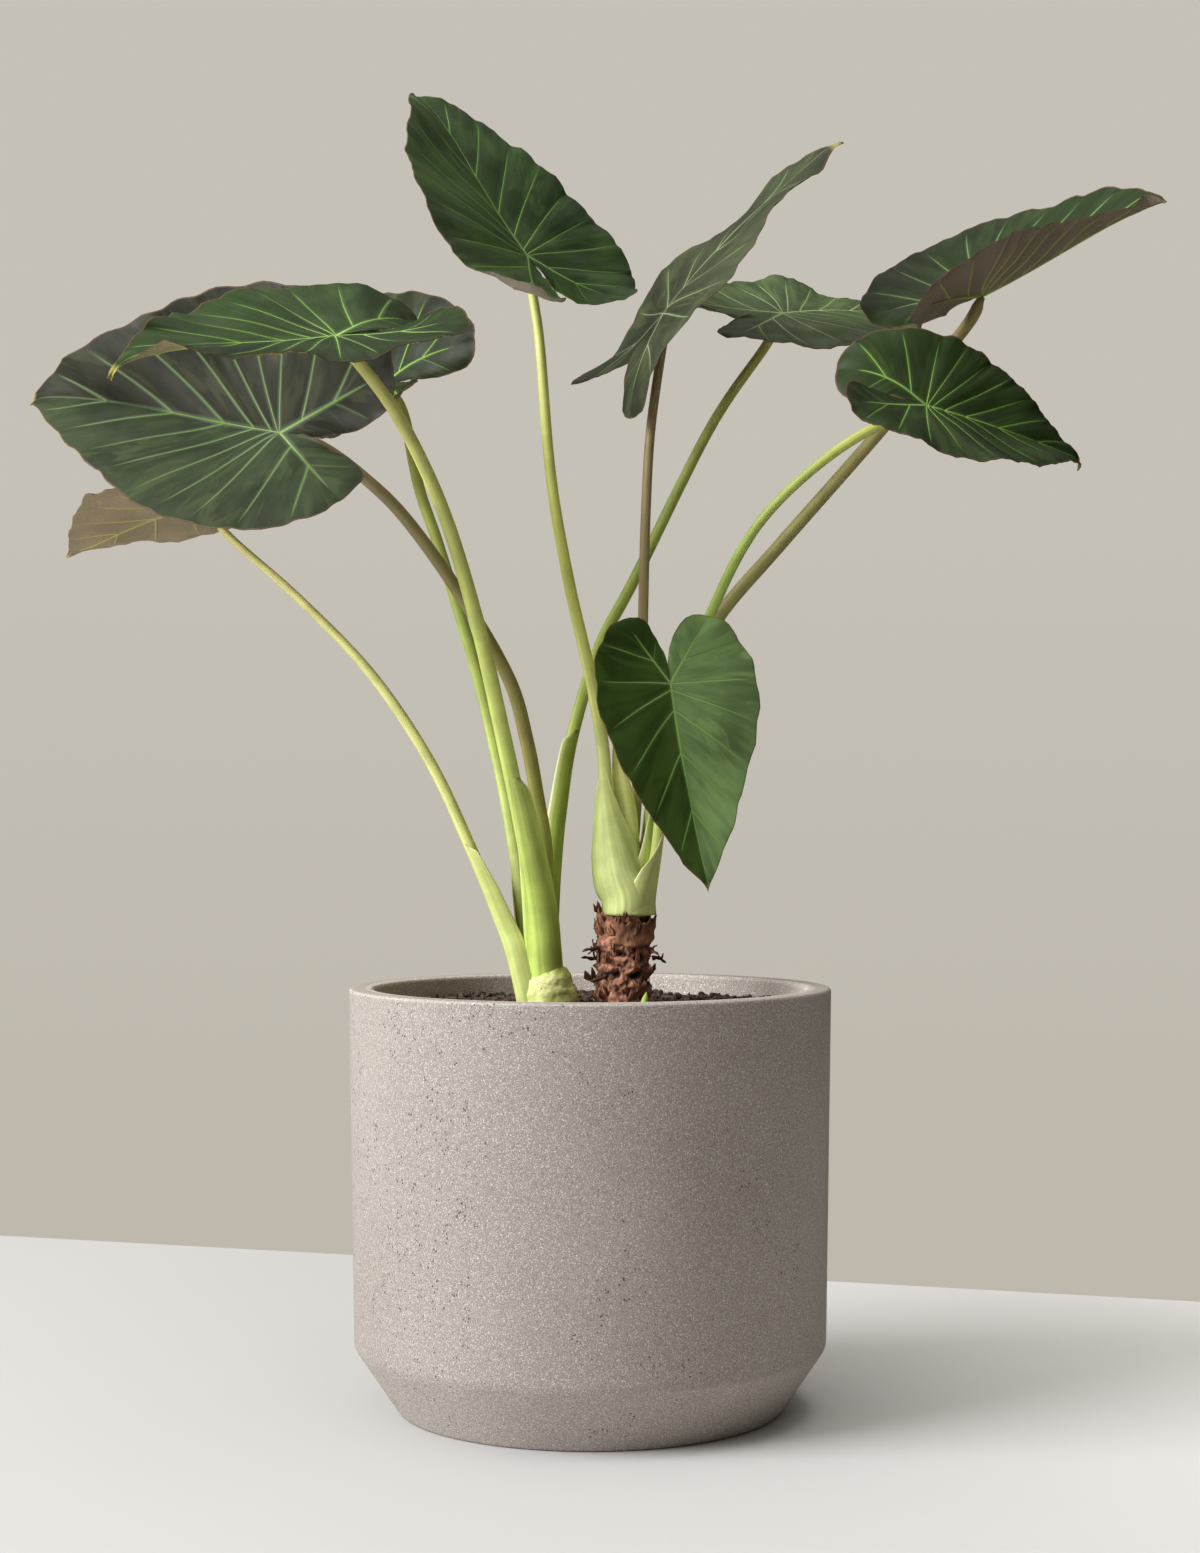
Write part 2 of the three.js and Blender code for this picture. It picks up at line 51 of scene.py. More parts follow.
# ---------------------------------------------------------------- blades: tables
# Blade outline of the left half, as shares of the length from petiole joint to tip.
OUTER_MARGIN = [
    (-0.42, 0.247), (-0.37, 0.34), (-0.19, 0.43), (0.05, 0.455), (0.28, 0.41),
    (0.50, 0.315), (0.70, 0.20), (0.85, 0.10), (0.945, 0.032), (1, 0),
]
INNER_MARGIN = [(-0.10, 0), (-0.20, 0.02), (-0.32, 0.055), (-0.41, 0.12),
                (-0.432, 0.19), (-0.42, 0.247)]
BASAL_RIB = np.array([-0.34, 0.20])       # where the rib into a lobe ends
MIDRIB_END = 0.985
HALF_WIDTH = 0.45                         # of the outline, before a blade's own width
# Where each lateral vein leaves the ribs (negative on the basal rib) and meets the margin,
# for blades with many and with few veins; on_lobe is how many of them the lobe has.
VEIN_PLANS = {
    "many": dict(roots=[-1, -0.60, -0.25, 0, 0.005, 0.03, 0.10, 0.22, 0.42, 0.67, 1],
                 ends=[0, 0.10, 0.21, 0.32, 0.43, 0.53, 0.625, 0.72, 0.815, 0.91, 1], on_lobe=3),
    "few": dict(roots=[-1, -0.42, 0, 0.03, 0.13, 0.34, 0.62, 1],
                ends=[0, 0.15, 0.31, 0.45, 0.59, 0.73, 0.865, 1], on_lobe=2),
}
VEIN_BOW = 0.13                           # how far a lateral vein curves, as a share of it

# Rows of the mesh between two veins, close together beside each vein, and its columns
# from the ribs to the margin.
ROW_STEPS = [0, 0.035, 0.08, 0.17, 0.33, 0.5, 0.67, 0.83, 0.92, 0.965]
COLUMNS = np.array([0, 0.012, 0.028, 0.05, 0.08, 0.12, 0.17, 0.23, 0.29, 0.35, 0.41, 0.47,
                    0.53, 0.59, 0.65, 0.71, 0.77, 0.82, 0.87, 0.91, 0.945, 0.97, 0.988, 1])

# joint is where the petiole meets the blade; length runs from there to the tip; width and
# lobe stretch the outline; turn is heading, pitch and roll; fold the angle of the left and
# right half, and what the tip adds; cup curves each half; bow bends the midrib (bend, curl,
# sweep) and lift raises the lobes. wave is the margin's rise and fall; puff the swelling
# between veins; rolls curl the margin: half, vein number at the middle, veins to each side,
# angle, share where it starts; drip lengthens and turns the tip; close narrows the notch;
# plan names the veins' plan.
BLADE_DEFAULTS = dict(plan="many", cup=0, puff=0.035, close=0, rolls=[])
BLADES = {
    "top": dict(
        joint=(-47, 20, 553), length=204, width=0.99, lobe=0.81, turn=(146, 51, 8),
        fold=(-8, 30, 4), cup=-8, bow=(10, -34, -16), lift=(40, 27), wave=2.4, puff=0.04,
        rolls=[(1, 0.1, 2.1, 115, 0.78), (-1, 0.2, 1.4, 30, 0.85)], drip=(-0.045, -35)),
    "large_left": dict(
        joint=(-216, -90, 405), length=237, width=0.94, lobe=1.02, turn=(144, 12, -60),
        fold=(16, 39, 0), bow=(24, -39, 9), lift=(-2, 0), wave=2.4, puff=0.045, drip=(0.02, -25)),
    "upper_left": dict(
        joint=(-165, -205, 451), length=162, width=0.99, lobe=1.14, turn=(208, -12, -18),
        fold=(0, 19, 0), bow=(17, -41, 11), lift=(17, -33), wave=2.6,
        rolls=[(1, 9.0, 1.5, 55, 0.7)], drip=(0.03, -30)),
    "rear_left": dict(
        joint=(-156, 60, 465), length=163, width=0.96, lobe=1.08, turn=(134, 4, -57),
        fold=(18, 23, 0), bow=(-10, 0, 0), lift=(29, -29), wave=2.2, drip=(0.03, -20)),
    "low_left": dict(
        plan="few", joint=(-291, 60, 374), length=166, width=1.02, lobe=1, turn=(143, -3, 4),
        fold=(2, 0, 0), bow=(-19, 18, -7), lift=(0, 0), wave=1.8, puff=0.03, drip=(0.02, -20)),
    "edge_on": dict(
        plan="few", joint=(55, 40, 514), length=181, width=0.97, lobe=1.07, turn=(-3, 54, 25),
        fold=(-5, 3, 0), bow=(-21, 14, -9), lift=(24, -23), wave=5.0, drip=(0.03, -30)),
    "rear_right": dict(
        joint=(149, 120, 530), length=172, width=1.01, lobe=1.09, turn=(32, 11, 27), fold=(3, 1, 0),
        bow=(-21, -10, 16), lift=(8, 2), wave=3.2, drip=(0.03, -30)),
    "upper_right": dict(
        joint=(292, 40, 528), length=162, width=1.08, lobe=1.03, turn=(17, 27, -8),
        fold=(50, 18, -6), cup=-6, bow=(5, -30, -64), lift=(-12, -11), wave=1.5,
        rolls=[(-1, 9.7, 0.9, 90, 0.5)], drip=(-0.025, 0)),
    "lower_right": dict(
        joint=(238, -60, 429), length=133, width=1.05, lobe=1.09, turn=(5, -15, 47),
        fold=(19, 11, 0), bow=(-21, 0, 19), lift=(-50, 8), wave=1.8, close=0.06, drip=(0.04, -60)),
    "front": dict(
        plan="few", joint=(54, -150, 227), length=142, width=0.98, lobe=0.76, turn=(-49, -78, 19),
        fold=(1, 16, 0), bow=(-7, 4, 8), lift=(9, 25), wave=1.6, puff=0.03, drip=(0.0, -20)),
}
BLADES = {name: {**BLADE_DEFAULTS, **blade} for name, blade in BLADES.items()}

# Blade colours as 0-255 levels: the upper face's left and right half, its veins, the pale
# bloom beside them, the underside and its veins; last, how strong the bloom is. Where the
# two halves differ, that is painted light and shade: the half towards the light is lighter.
TONE_NAMES = ("left", "right", "vein", "halo", "under", "under_vein", "bloom")
BLADE_TONES = {
    "top": [(49, 73, 29), (38, 64, 20), (112, 156, 62), (74, 104, 56),
            (150, 138, 126), (178, 182, 120), 0.35],
    "large_left": [(44, 53, 33), (40, 41, 29), (92, 126, 46), (104, 112, 94),
                   (120, 104, 86), (160, 164, 80), 0.45],
    "upper_left": [(30, 46, 17), (39, 60, 22), (122, 164, 66), (96, 124, 76),
                   (136, 124, 96), (176, 184, 100), 0.35],
    "rear_left": [(33, 40, 18), (31, 38, 16), (112, 150, 50), (78, 104, 56),
                  (136, 122, 108), (176, 184, 100), 0.3],
    "low_left": [(70, 86, 52), (70, 86, 52), (140, 170, 80), (96, 110, 70),
                 (154, 136, 117), (196, 192, 104), 0.3],
    "edge_on": [(55, 61, 42), (55, 61, 42), (122, 140, 92), (92, 102, 76),
                (78, 88, 66), (140, 160, 104), 0.4],
    "rear_right": [(67, 86, 48), (67, 86, 48), (156, 180, 112), (100, 118, 84),
                   (96, 84, 70), (160, 170, 90), 0.4],
    "upper_right": [(33, 48, 20), (33, 48, 20), (112, 146, 72), (88, 104, 72),
                    (112, 96, 90), (134, 150, 62), 0.35],
    "lower_right": [(32, 47, 14), (32, 47, 14), (96, 136, 42), (66, 96, 46),
                    (110, 90, 74), (160, 166, 80), 0.3],
    "front": [(106, 132, 82), (54, 76, 30), (132, 176, 78), (104, 134, 80),
              (120, 108, 84), (160, 170, 80), 0.35],
}

# ---------------------------------------------------------------- petioles: tables
LEFT_CROWN = (-36, 6, 25)
RIGHT_CROWN = (26, 10, 66)

# base is x and y on the crown; route the points above it, each x, y and height; radii are
# low down and at the blade. back is the direction that the sheath's rounded side faces, top
# its length, girth its radius and wings the angles it reaches clockwise and anticlockwise
# round its crown, each as points of share along it and value. foot, where it is given, is
# how the petiole rises from the crown.
PETIOLES = {
    "top": dict(
        crown=RIGHT_CROWN, base=(25, -7), radii=(5.2, 3.4),
        route=[(19, -6, 100), (12, -3, 150), (9, 1, 190), (0, 3, 241), (-16, 6, 312),
               (-29, 10, 389), (-37, 16, 484), (-42, 18, 520)],
        back=-96, top=112, girth=[(0, 17), (0.22, 21), (0.42, 18), (0.7, 10.5), (1, 5.2)],
        wings=[(0, 165, 150), (0.2, 150, 112), (0.45, 130, 78), (0.75, 90, 50), (1, 5, 5)]),
    "large_left": dict(
        crown=LEFT_CROWN, base=(-33, 12), radii=(5.8, 4),
        route=[(-33, 9, 80), (-33, 3, 114), (-39, -4, 154), (-46, -14, 193),
               (-58, -25, 236), (-89, -44, 291), (-129, -65, 347), (-160, -77, 377),
               (-189, -86, 397)],
        back=60, top=90, girth=[(0, 12), (1, 5.8)], wings=[(0, 120, 120), (1, 5, 5)]),
    "upper_left": dict(
        crown=LEFT_CROWN, base=(-32, -6), radii=(6.8, 4),
        foot=[(-35, -7, 14), (-36.5, -8, 40)],
        route=[(-40, -11, 79), (-50, -26, 136), (-64, -52, 206), (-78, -83, 271),
               (-99, -125, 344), (-126, -166, 402), (-154, -196, 439)],
        back=-112, top=158, girth=[(0, 13.6), (0.3, 13), (0.6, 11.4), (0.9, 9.4), (1, 6.4)],
        wings=[(0, 110, 165), (0.3, 60, 150), (0.6, 25, 125), (0.94, 5, 105), (1, 2, 70)]),
    "rear_left": dict(
        crown=LEFT_CROWN, base=(-47, 17), radii=(5, 4),
        route=[(-52, 21, 85), (-61, 23, 143), (-71, 27, 191), (-86, 33, 251),
               (-113, 43, 339), (-129, 49, 386), (-141, 56, 441)],
        back=135, top=90, girth=[(0, 14), (1, 5)], wings=[(0, 120, 120), (1, 5, 5)]),
    "low_left": dict(
        crown=LEFT_CROWN, base=(-52, 2), radii=(5, 2.8),
        foot=[(-47, -5, -5), (-51, -4, 14), (-57, 0, 38)],
        route=[(-65, 5, 60), (-87, 10, 113), (-118, 19, 178), (-162, 31, 243),
               (-217, 43, 300), (-271, 54, 348)],
        back=-166, top=132, girth=[(0, 10.5), (0.35, 9.5), (0.7, 8), (0.93, 6.6), (1, 4.8)],
        wings=[(0, 120, 130), (0.35, 100, 120), (0.7, 80, 110), (0.94, 60, 90), (1, 5, 40)]),
    "edge_on": dict(
        crown=RIGHT_CROWN, base=(20, 25), radii=(4.2, 3.4),
        route=[(30, 22, 110), (34, 20, 150), (37, 20, 209), (39, 24, 283), (41, 29, 358),
               (45, 34, 427), (55, 39, 499)],
        back=112, top=70, girth=[(0, 16), (1, 4.4)], wings=[(0, 120, 120), (1, 5, 5)]),
    "rear_right": dict(
        crown=LEFT_CROWN, base=(-30, 16), radii=(5.2, 3.6),
        route=[(-28.5, 20, 60), (-26.5, 25, 98), (-22.5, 31, 141), (-13.5, 38, 198), (7, 52, 266),
               (33, 64, 317), (92, 94, 437), (136, 113, 504)],
        back=20, top=180, girth=[(0, 11), (0.3, 10), (0.6, 10), (0.94, 9.8), (1, 6)],
        wings=[(0, 165, 120), (0.5, 140, 90), (0.94, 118, 40), (1, 80, 5)]),
    "upper_right": dict(
        crown=RIGHT_CROWN, base=(34, 28), radii=(5.6, 4.4),
        route=[(41, 29, 110), (48, 29, 158), (67, 29, 232), (95, 31, 286), (141, 33, 340),
               (220, 36, 430), (279, 39, 502)],
        back=66, top=80, girth=[(0, 20), (1, 6)], wings=[(0, 130, 130), (1, 5, 5)]),
    "lower_right": dict(
        crown=RIGHT_CROWN, base=(43, 17), radii=(4, 3.5),
        route=[(44, 12, 110), (45, 8, 150), (60, -4, 216), (88, -19, 286), (111, -32, 333),
               (136, -40, 365), (171, -50, 395), (204, -55, 415)],
        back=15, top=84, girth=[(0, 20), (0.5, 13), (0.9, 8), (1, 4)],
        wings=[(0, 140, 130), (0.5, 110, 90), (0.9, 80, 40), (1, 20, 5)]),
    "front": dict(
        crown=RIGHT_CROWN, base=(43, 2), radii=(4.4, 3.5),
        route=[(49, -6, 120), (53, -45, 175), (54, -100, 215), (54, -135, 226)],
        back=-24, top=70, girth=[(0, 20), (0.5, 13), (1, 4.4)],
        wings=[(0, 90, 130), (0.5, 70, 100), (1, 10, 10)]),
}
UPRIGHT_FOOT = 14                 # how far a petiole rises straight from its crown

# Petiole colours as 0-255 levels: at the crown, half way and at the blade.
LIME = [(206, 214, 132), (176, 190, 92), (186, 192, 102)]
PETIOLE_TONES = {
    "top": [(206, 214, 138), (196, 202, 104), (196, 198, 116)],
    "large_left": [(158, 164, 68), (134, 124, 70), (164, 150, 108)],
    "upper_left": [(186, 206, 100), (196, 206, 110), (196, 194, 114)],
    "rear_left": LIME,
    "low_left": [(200, 208, 122), (196, 196, 122), (204, 196, 126)],
    "edge_on": [(170, 172, 96), (150, 134, 92), (150, 132, 92)],
    "rear_right": [(172, 192, 88), (164, 180, 84), (176, 172, 98)],
    "upper_right": [(170, 180, 90), (140, 136, 78), (150, 136, 88)],
    "lower_right": [(190, 206, 110), (150, 172, 78), (174, 178, 90)],
    "front": LIME,
}


# ---------------------------------------------------------------- curves and meshes
def smooth_line(points, steps=16):
    """A Catmull-Rom line through the points, as many of them per stretch as steps."""
    points = np.asarray(points, float)
    held = np.vstack([2 * points[0] - points[1], points, 2 * points[-1] - points[-2]])
    share = (np.arange(steps) / steps)[:, None]
    line = []
    for p0, p1, p2, p3 in zip(held, held[1:], held[2:], held[3:]):
        line.append(0.5 * (2 * p1 + (p2 - p0) * share + (2 * p0 - 5 * p1 + 4 * p2 - p3) * share**2
                           + (3 * p1 - p0 - 3 * p2 + p3) * share**3))
    return np.vstack(line + [points[-1:]])


def travelled(line):
    """Distance along a line at each of its points."""
    return np.concatenate([[0], np.cumsum(np.linalg.norm(np.diff(line, axis=0), axis=1))])


def points_along(line, shares):
    """Points at the given shares of a line's length."""
    done = travelled(line)
    wanted = np.asarray(shares) * done[-1]
    return np.stack([np.interp(wanted, done, line[:, i]) for i in range(line.shape[1])], -1)


def table_value(table, share, column=1):
    """A value from rows of (share, value, ...) at a share between them."""
    return np.interp(share, [row[0] for row in table], [row[column] for row in table])


def smoothstep(low, high, value):
    share = np.clip((value - low) / (high - low), 0, 1)
    return share * share * (3 - 2 * share)


def direction(degrees):
    """The level direction at an angle from +X, as a unit vector."""
    return np.array([math.cos(math.radians(degrees)), math.sin(math.radians(degrees)), 0])


def polar(radius, angle, height=0.0):
    """A point at an angle, in radians, round an upright axis."""
    return radius * math.cos(angle), radius * math.sin(angle), height


def placed(points):
    """Millimetres above the soil as metres in the frame."""
    return np.asarray(points) * MM + np.array([0, 0, SOIL])


def make_piece(name, points, faces, materials, node=None, values=None, kinds=None):
    """A smooth mesh piece on the frame's one body, standing for a CAD node."""
    mesh = bpy.data.meshes.new(name)
    mesh.from_pydata([tuple(point) for point in points], [], [tuple(f) for f in faces])
    for key, value in (values or {}).items():
        kind = "FLOAT" if np.ndim(value) == 1 else "FLOAT_VECTOR"
        field = "value" if kind == "FLOAT" else "vector"
        layer = mesh.attributes.new(key, kind, "POINT")
        layer.data.foreach_set(field, np.asarray(value, np.float32).ravel())
    for material in materials:
        mesh.materials.append(material)
    if kinds is not None:
        mesh.polygons.foreach_set("material_index", np.asarray(kinds, np.int32))
    mesh.validate()
    mesh.shade_smooth()
    piece = bpy.data.objects.new(name, mesh)
    bpy.context.scene.collection.objects.link(piece)
    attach(piece, "root")
    if node:
        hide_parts(node)
    return piece


def grid_faces(rows, columns, first=0, closed=False):
    """Quads of a grid of points; closed joins the last column to the first."""
    faces = []
    for row in range(rows - 1):
        for column in range(columns if closed else columns - 1):
            a = first + row * columns + column
            b = first + row * columns + (column + 1) % columns
            faces.append((a, b, b + columns, a + columns))
    return faces


def capped_tube(rings):
    """Points and faces of a closed tube from rings of points, each an array (sides, 3)."""
    sides = len(rings[0])
    points = np.vstack(rings)
    faces = grid_faces(len(rings), sides, closed=True)
    middle_low = len(points)
    points = np.vstack([points, rings[0].mean(0), rings[-1].mean(0)])
    last = (len(rings) - 1) * sides
    for side in range(sides):
        after = (side + 1) % sides
        faces.append((middle_low, after, side))
        faces.append((middle_low + 1, last + side, last + after))
    return points, faces


def joined(parts):
    """One list of points and faces from several, with the values of each kept by point."""
    points, faces, values, first = [], [], {}, 0
    for part_points, part_faces, part_values in parts:
        points.append(part_points)
        faces += [tuple(first + i for i in face) for face in part_faces]
        for key, value in part_values.items():
            values.setdefault(key, []).append(value)
        first += len(part_points)
    return np.vstack(points), faces, {key: np.concatenate(v) for key, v in values.items()}


def frames_along(line):
    """Tangents and a side vector at each point of a line, carried along without twist."""
    tangents = np.gradient(line, axis=0)
    tangents /= np.linalg.norm(tangents, axis=1)[:, None]
    side = np.array([1.0, 0, 0])
    sides = []
    for tangent in tangents:
        side = side - tangent * side.dot(tangent)
        side /= np.linalg.norm(side)
        sides.append(side)
    return tangents, np.array(sides)


# ---------------------------------------------------------------- materials
def colour(levels):
    """Linear colour from 0-255 display levels."""
    shares = np.asarray(levels[:3], float) / 255
    linear = np.where(shares <= 0.04045, shares / 12.92, ((shares + 0.055) / 1.055) ** 2.4)
    return (*linear, 1.0)


class Nodes:
    """A node tree that is built up one node at a time, from numbers and other nodes."""

    def __init__(self, tree):
        self.tree = tree

    def node(self, kind, inputs, output=0, **settings):
        made = self.tree.nodes.new(kind)
        for key, value in settings.items():
            setattr(made, key, value)
        for key, value in inputs.items():
            self.feed(made.inputs[key], value)
        return made.outputs[output]

    def feed(self, socket, value):
        if isinstance(value, bpy.types.NodeSocket):
            self.tree.links.new(value, socket)
        else:
            socket.default_value = value

    def ramp(self, value, low, high, to_low=0.0, to_high=1.0, way="SMOOTHSTEP"):
        return self.node("ShaderNodeMapRange", {
            "Value": value, "From Min": low, "From Max": high, "To Min": to_low,
            "To Max": to_high}, interpolation_type=way)

    def math(self, operation, a, b=0.0):
        return self.node("ShaderNodeMath", {0: a, 1: b}, operation=operation)

    def mix(self, factor, a, b):
        return self.node("ShaderNodeMix", {0: factor, 6: a, 7: b}, 2, data_type="RGBA")


class Finish(Nodes):
    """A Principled material."""

    def __init__(self, name, **numbers):
        self.material = bpy.data.materials.new(name)
        self.material.use_nodes = True
        super().__init__(self.material.node_tree)
        self.shader = self.tree.nodes["Principled BSDF"]
        for key, value in numbers.items():
            self.shader.inputs[key.replace("_", " ")].default_value = value

    def attribute(self, name, output="Fac"):
        return self.node("ShaderNodeAttribute", {}, output, attribute_name=name)

    def place(self):
        return self.node("ShaderNodeTexCoord", {}, "Object")

    def stretched(self, vector, factors):
        return self.node("ShaderNodeVectorMath", {0: vector, 1: factors}, operation="MULTIPLY")

    def noise(self, vector, scale, detail=3, distortion=0):
        return self.node("ShaderNodeTexNoise", {
            "Vector": vector, "Scale": scale, "Detail": detail, "Distortion": distortion})

    def cloud(self, vector, scale, low, high, detail=3):
        """Soft noise that runs from low to high."""
        return self.ramp(self.noise(vector, scale, detail), 0.3, 0.7, low, high)

    def cells(self, vector, scale, output="Distance", feature="F1"):
        return self.node("ShaderNodeTexVoronoi", {"Vector": vector, "Scale": scale}, output,
                         feature=feature)

    def scaled(self, tint, factor):
        return self.node("ShaderNodeVectorMath", {0: tint, "Scale": factor}, operation="SCALE")

    def bump(self, height, distance, strength):
        normal = self.node("ShaderNodeBump", {
            "Height": height, "Distance": distance, "Strength": strength})
        self.feed(self.shader.inputs["Normal"], normal)

    def done(self, base, roughness=None):
        self.feed(self.shader.inputs["Base Color"], base)
        if roughness is not None:
            self.feed(self.shader.inputs["Roughness"], roughness)
        return self.material


def veined(finish, base, vein_tint, halo_tint, bloom, reach):
    """base with its veins drawn on, from the distances that the blade's mesh carries."""
    lateral = finish.attribute("vein")
    rib = finish.attribute("rib")
    clear = finish.attribute("clear")
    near = finish.math("MULTIPLY", finish.ramp(lateral, reach, 1.0), clear)
    by_rib = finish.ramp(rib, reach * 0.8, 1.0)
    bloomed = finish.math("MULTIPLY", finish.math("MAXIMUM", near, by_rib), bloom)
    base = finish.mix(bloomed, base, halo_tint)
    line = finish.math("MULTIPLY", finish.ramp(lateral, 1.35, 0.7), clear)
    drawn = finish.math("MAXIMUM", line, finish.ramp(rib, 1.3, 0.75))
    return finish.mix(drawn, base, vein_tint), drawn


def blade_finish(name):
    """What both faces of a blade share: the finish, its place, its grid and its fine net."""
    finish = Finish(name, Specular_IOR_Level=0.12)
    grid = finish.attribute("grid", "Vector")
    net = finish.cells(finish.stretched(grid, (0.5, 0.36, 1)), 1, feature="DISTANCE_TO_EDGE")
    return finish, finish.place(), grid, net


def blade_upper(name, tones):
    finish, place, grid, net = blade_finish(f"{name}_upper")
    # painted light and shade: each half of the upper face gets its own tone, the half towards the
    # light lighter
    halves = [tones["left"], tones["right"]]
    half = finish.attribute("half")
    base = finish.mix(half, *(colour(levels) for levels in halves))
    streak = finish.cloud(finish.stretched(grid, (0.22, 0.035, 1)), 1, 0.86, 1.14)
    shade = finish.math("MULTIPLY", finish.cloud(place, 22, 0.68, 1.3, 4), streak)
    base = finish.scaled(base, shade)
    # painted sheen: soft patches of lighter grey-green stand in for the glossy reflections on the
    # upper face
    painted_sheen = finish.ramp(finish.noise(finish.stretched(grid, (0.06, 0.018, 1)), 1, 3, 1.2),
                        0.5, 0.64, 0, 0.5)
    painted_light = [colour([1.1 * level + lift for level, lift in zip(levels, (18, 19, 9))])
           for levels in halves]
    base = finish.mix(painted_sheen, base, finish.mix(half, *painted_light))
    pale = finish.ramp(finish.attribute("reach"), 60, 4, 0, tones["bloom"])
    vein_tint = finish.mix(pale, colour(tones["vein"]),
                           colour([0.6 * level + 90 for level in tones["vein"]]))
    base, drawn = veined(finish, base, vein_tint, colour(tones["halo"]), tones["bloom"], 6.0)
    base = finish.mix(finish.ramp(finish.attribute("edge"), 1.1, 0.2, 0, 0.6), base,
                      colour((104, 70, 48)))
    length = BLADES[name]["length"]
    ripe = finish.ramp(finish.attribute("reach"), 0.955 * length, 0.995 * length, 0, 0.8)
    base = finish.mix(ripe, base, colour((164, 160, 84)))
    relief = finish.math("ADD", finish.ramp(net, 0, 0.25), finish.noise(grid, 0.35, 2))
    finish.bump(relief, 0.3 * MM, 0.07)
    worn = finish.cloud(place, 45, 0.4, 0.58)
    return finish.done(base, finish.math("ADD", worn, finish.math("MULTIPLY", drawn, 0.12)))


def blade_under(name, tones):
    finish, place, grid, net = blade_finish(f"{name}_under")
    vein_tint = colour(tones["under_vein"])
    base = finish.scaled(colour(tones["under"])[:3], finish.cloud(place, 22, 0.82, 1.16, 4))
    base = finish.mix(finish.ramp(net, 0.12, 0, 0, 0.35), base, vein_tint)
    base, drawn = veined(finish, base, vein_tint, vein_tint, 0.18, 4.0)
    finish.bump(finish.noise(grid, 0.5, 2), 0.3 * MM, 0.2)
    return finish.done(base, finish.math("SUBTRACT", 0.6, finish.math("MULTIPLY", drawn, 0.1)))


def petiole_finish(name, tones):
    finish = Finish(f"{name}_petiole_skin", Specular_IOR_Level=0.35)
    low, middle, high = (colour(levels) for levels in tones)
    along = finish.attribute("along")
    base = finish.mix(finish.ramp(along, 0.05, 0.5), low, middle)
    base = finish.mix(finish.ramp(along, 0.5, 1.0), base, high)
    skin = finish.attribute("skin", "Vector")
    fibre = finish.noise(finish.stretched(skin, (0.5, 0.012, 0.5)), 1, 2)
    base = finish.scaled(base, finish.ramp(fibre, 0.3, 0.7, 0.9, 1.08))
    blotch = finish.ramp(finish.noise(finish.place(), 60, 3), 0.35, 0.7, 1.06, 0.88)
    base = finish.scaled(base, blotch)
    # painted shade: darker green in the groove between the sheath's body and its wings, and over the
    # sheath's inner face
    painted_hollow_shade = finish.attribute("painted_hollow_shade")
    base = finish.mix(finish.ramp(painted_hollow_shade, 0, 1, 0, 0.55), base, colour((118, 140, 40)))
    wing = finish.attribute("wing")
    base = finish.mix(finish.ramp(wing, 0.78, 1.0, 0, 0.75), base, colour((226, 226, 172)))
    base = finish.mix(finish.attribute("dry"), base, colour((112, 76, 44)))
    finish.bump(fibre, 0.3 * MM, 0.12)
    return finish.done(base, finish.ramp(fibre, 0.3, 0.7, 0.40, 0.52))


def corm_finish():
    finish = Finish("corm_skin")
    place = finish.place()
    ring = finish.attribute("ring")
    cloud = finish.noise(place, 70, 4)
    base = finish.mix(finish.ramp(cloud, 0.35, 0.65), colour((192, 202, 108)),
                      colour((218, 218, 148)))
    base = finish.mix(finish.ramp(ring, 0.35, 1.0, 0, 0.7), base, colour((140, 118, 66)))
    dots = finish.cells(place, 260)
    base = finish.mix(finish.ramp(dots, 0.2, 0.1, 0, 0.8), base, colour((104, 72, 44)))
    finish.bump(cloud, 1.0 * MM, 0.5)
    return finish.done(base, finish.ramp(cloud, 0.3, 0.7, 0.5, 0.7))


def bark_finish(name, pale, middle, dark):
    finish = Finish(name)
    place = finish.place()
    relief = finish.attribute("relief")
    patch = finish.noise(place, 75, 5, 0.8)
    base = finish.mix(finish.ramp(patch, 0.38, 0.62), colour(middle), colour(pale))
    # darker where the relief is low: on the rhizome these are its pits and ring scars, so the dark
    # there is partly the bark's own tone and partly painted shade
    depth = finish.math("ADD", relief, finish.math("MULTIPLY", finish.noise(place, 260, 4), 0.5))
    dusk = finish.ramp(finish.noise(place, 90, 4, 0.4), 0.46, 0.6, 0, 0.6)
    base = finish.mix(dusk, base, colour([0.5 * a + 0.5 * b for a, b in zip(middle, dark)]))
    base = finish.mix(finish.ramp(depth, 0.85, 0.3), base, colour(dark))
    grain = finish.noise(finish.stretched(place, (1, 1, 0.35)), 500, 4)
    base = finish.scaled(base, finish.ramp(grain, 0.3, 0.7, 0.75, 1.2))
    finish.bump(grain, 0.6 * MM, 0.6)
    return finish.done(base, finish.ramp(grain, 0.3, 0.7, 0.72, 0.95))


def soil_finish():
    finish = Finish("soil_grain")
    place = finish.place()
    tint = finish.cells(place, 330, output="Color")
    shade = finish.node("ShaderNodeSeparateColor", {"Color": tint}, 0)
    base = finish.mix(shade, colour((44, 32, 25)), colour((96, 74, 58)))
    base = finish.scaled(base, finish.cloud(place, 40, 0.7, 1.2))
    finish.bump(finish.noise(place, 900, 4), 0.8 * MM, 0.7)
    return finish.done(base, 0.95)


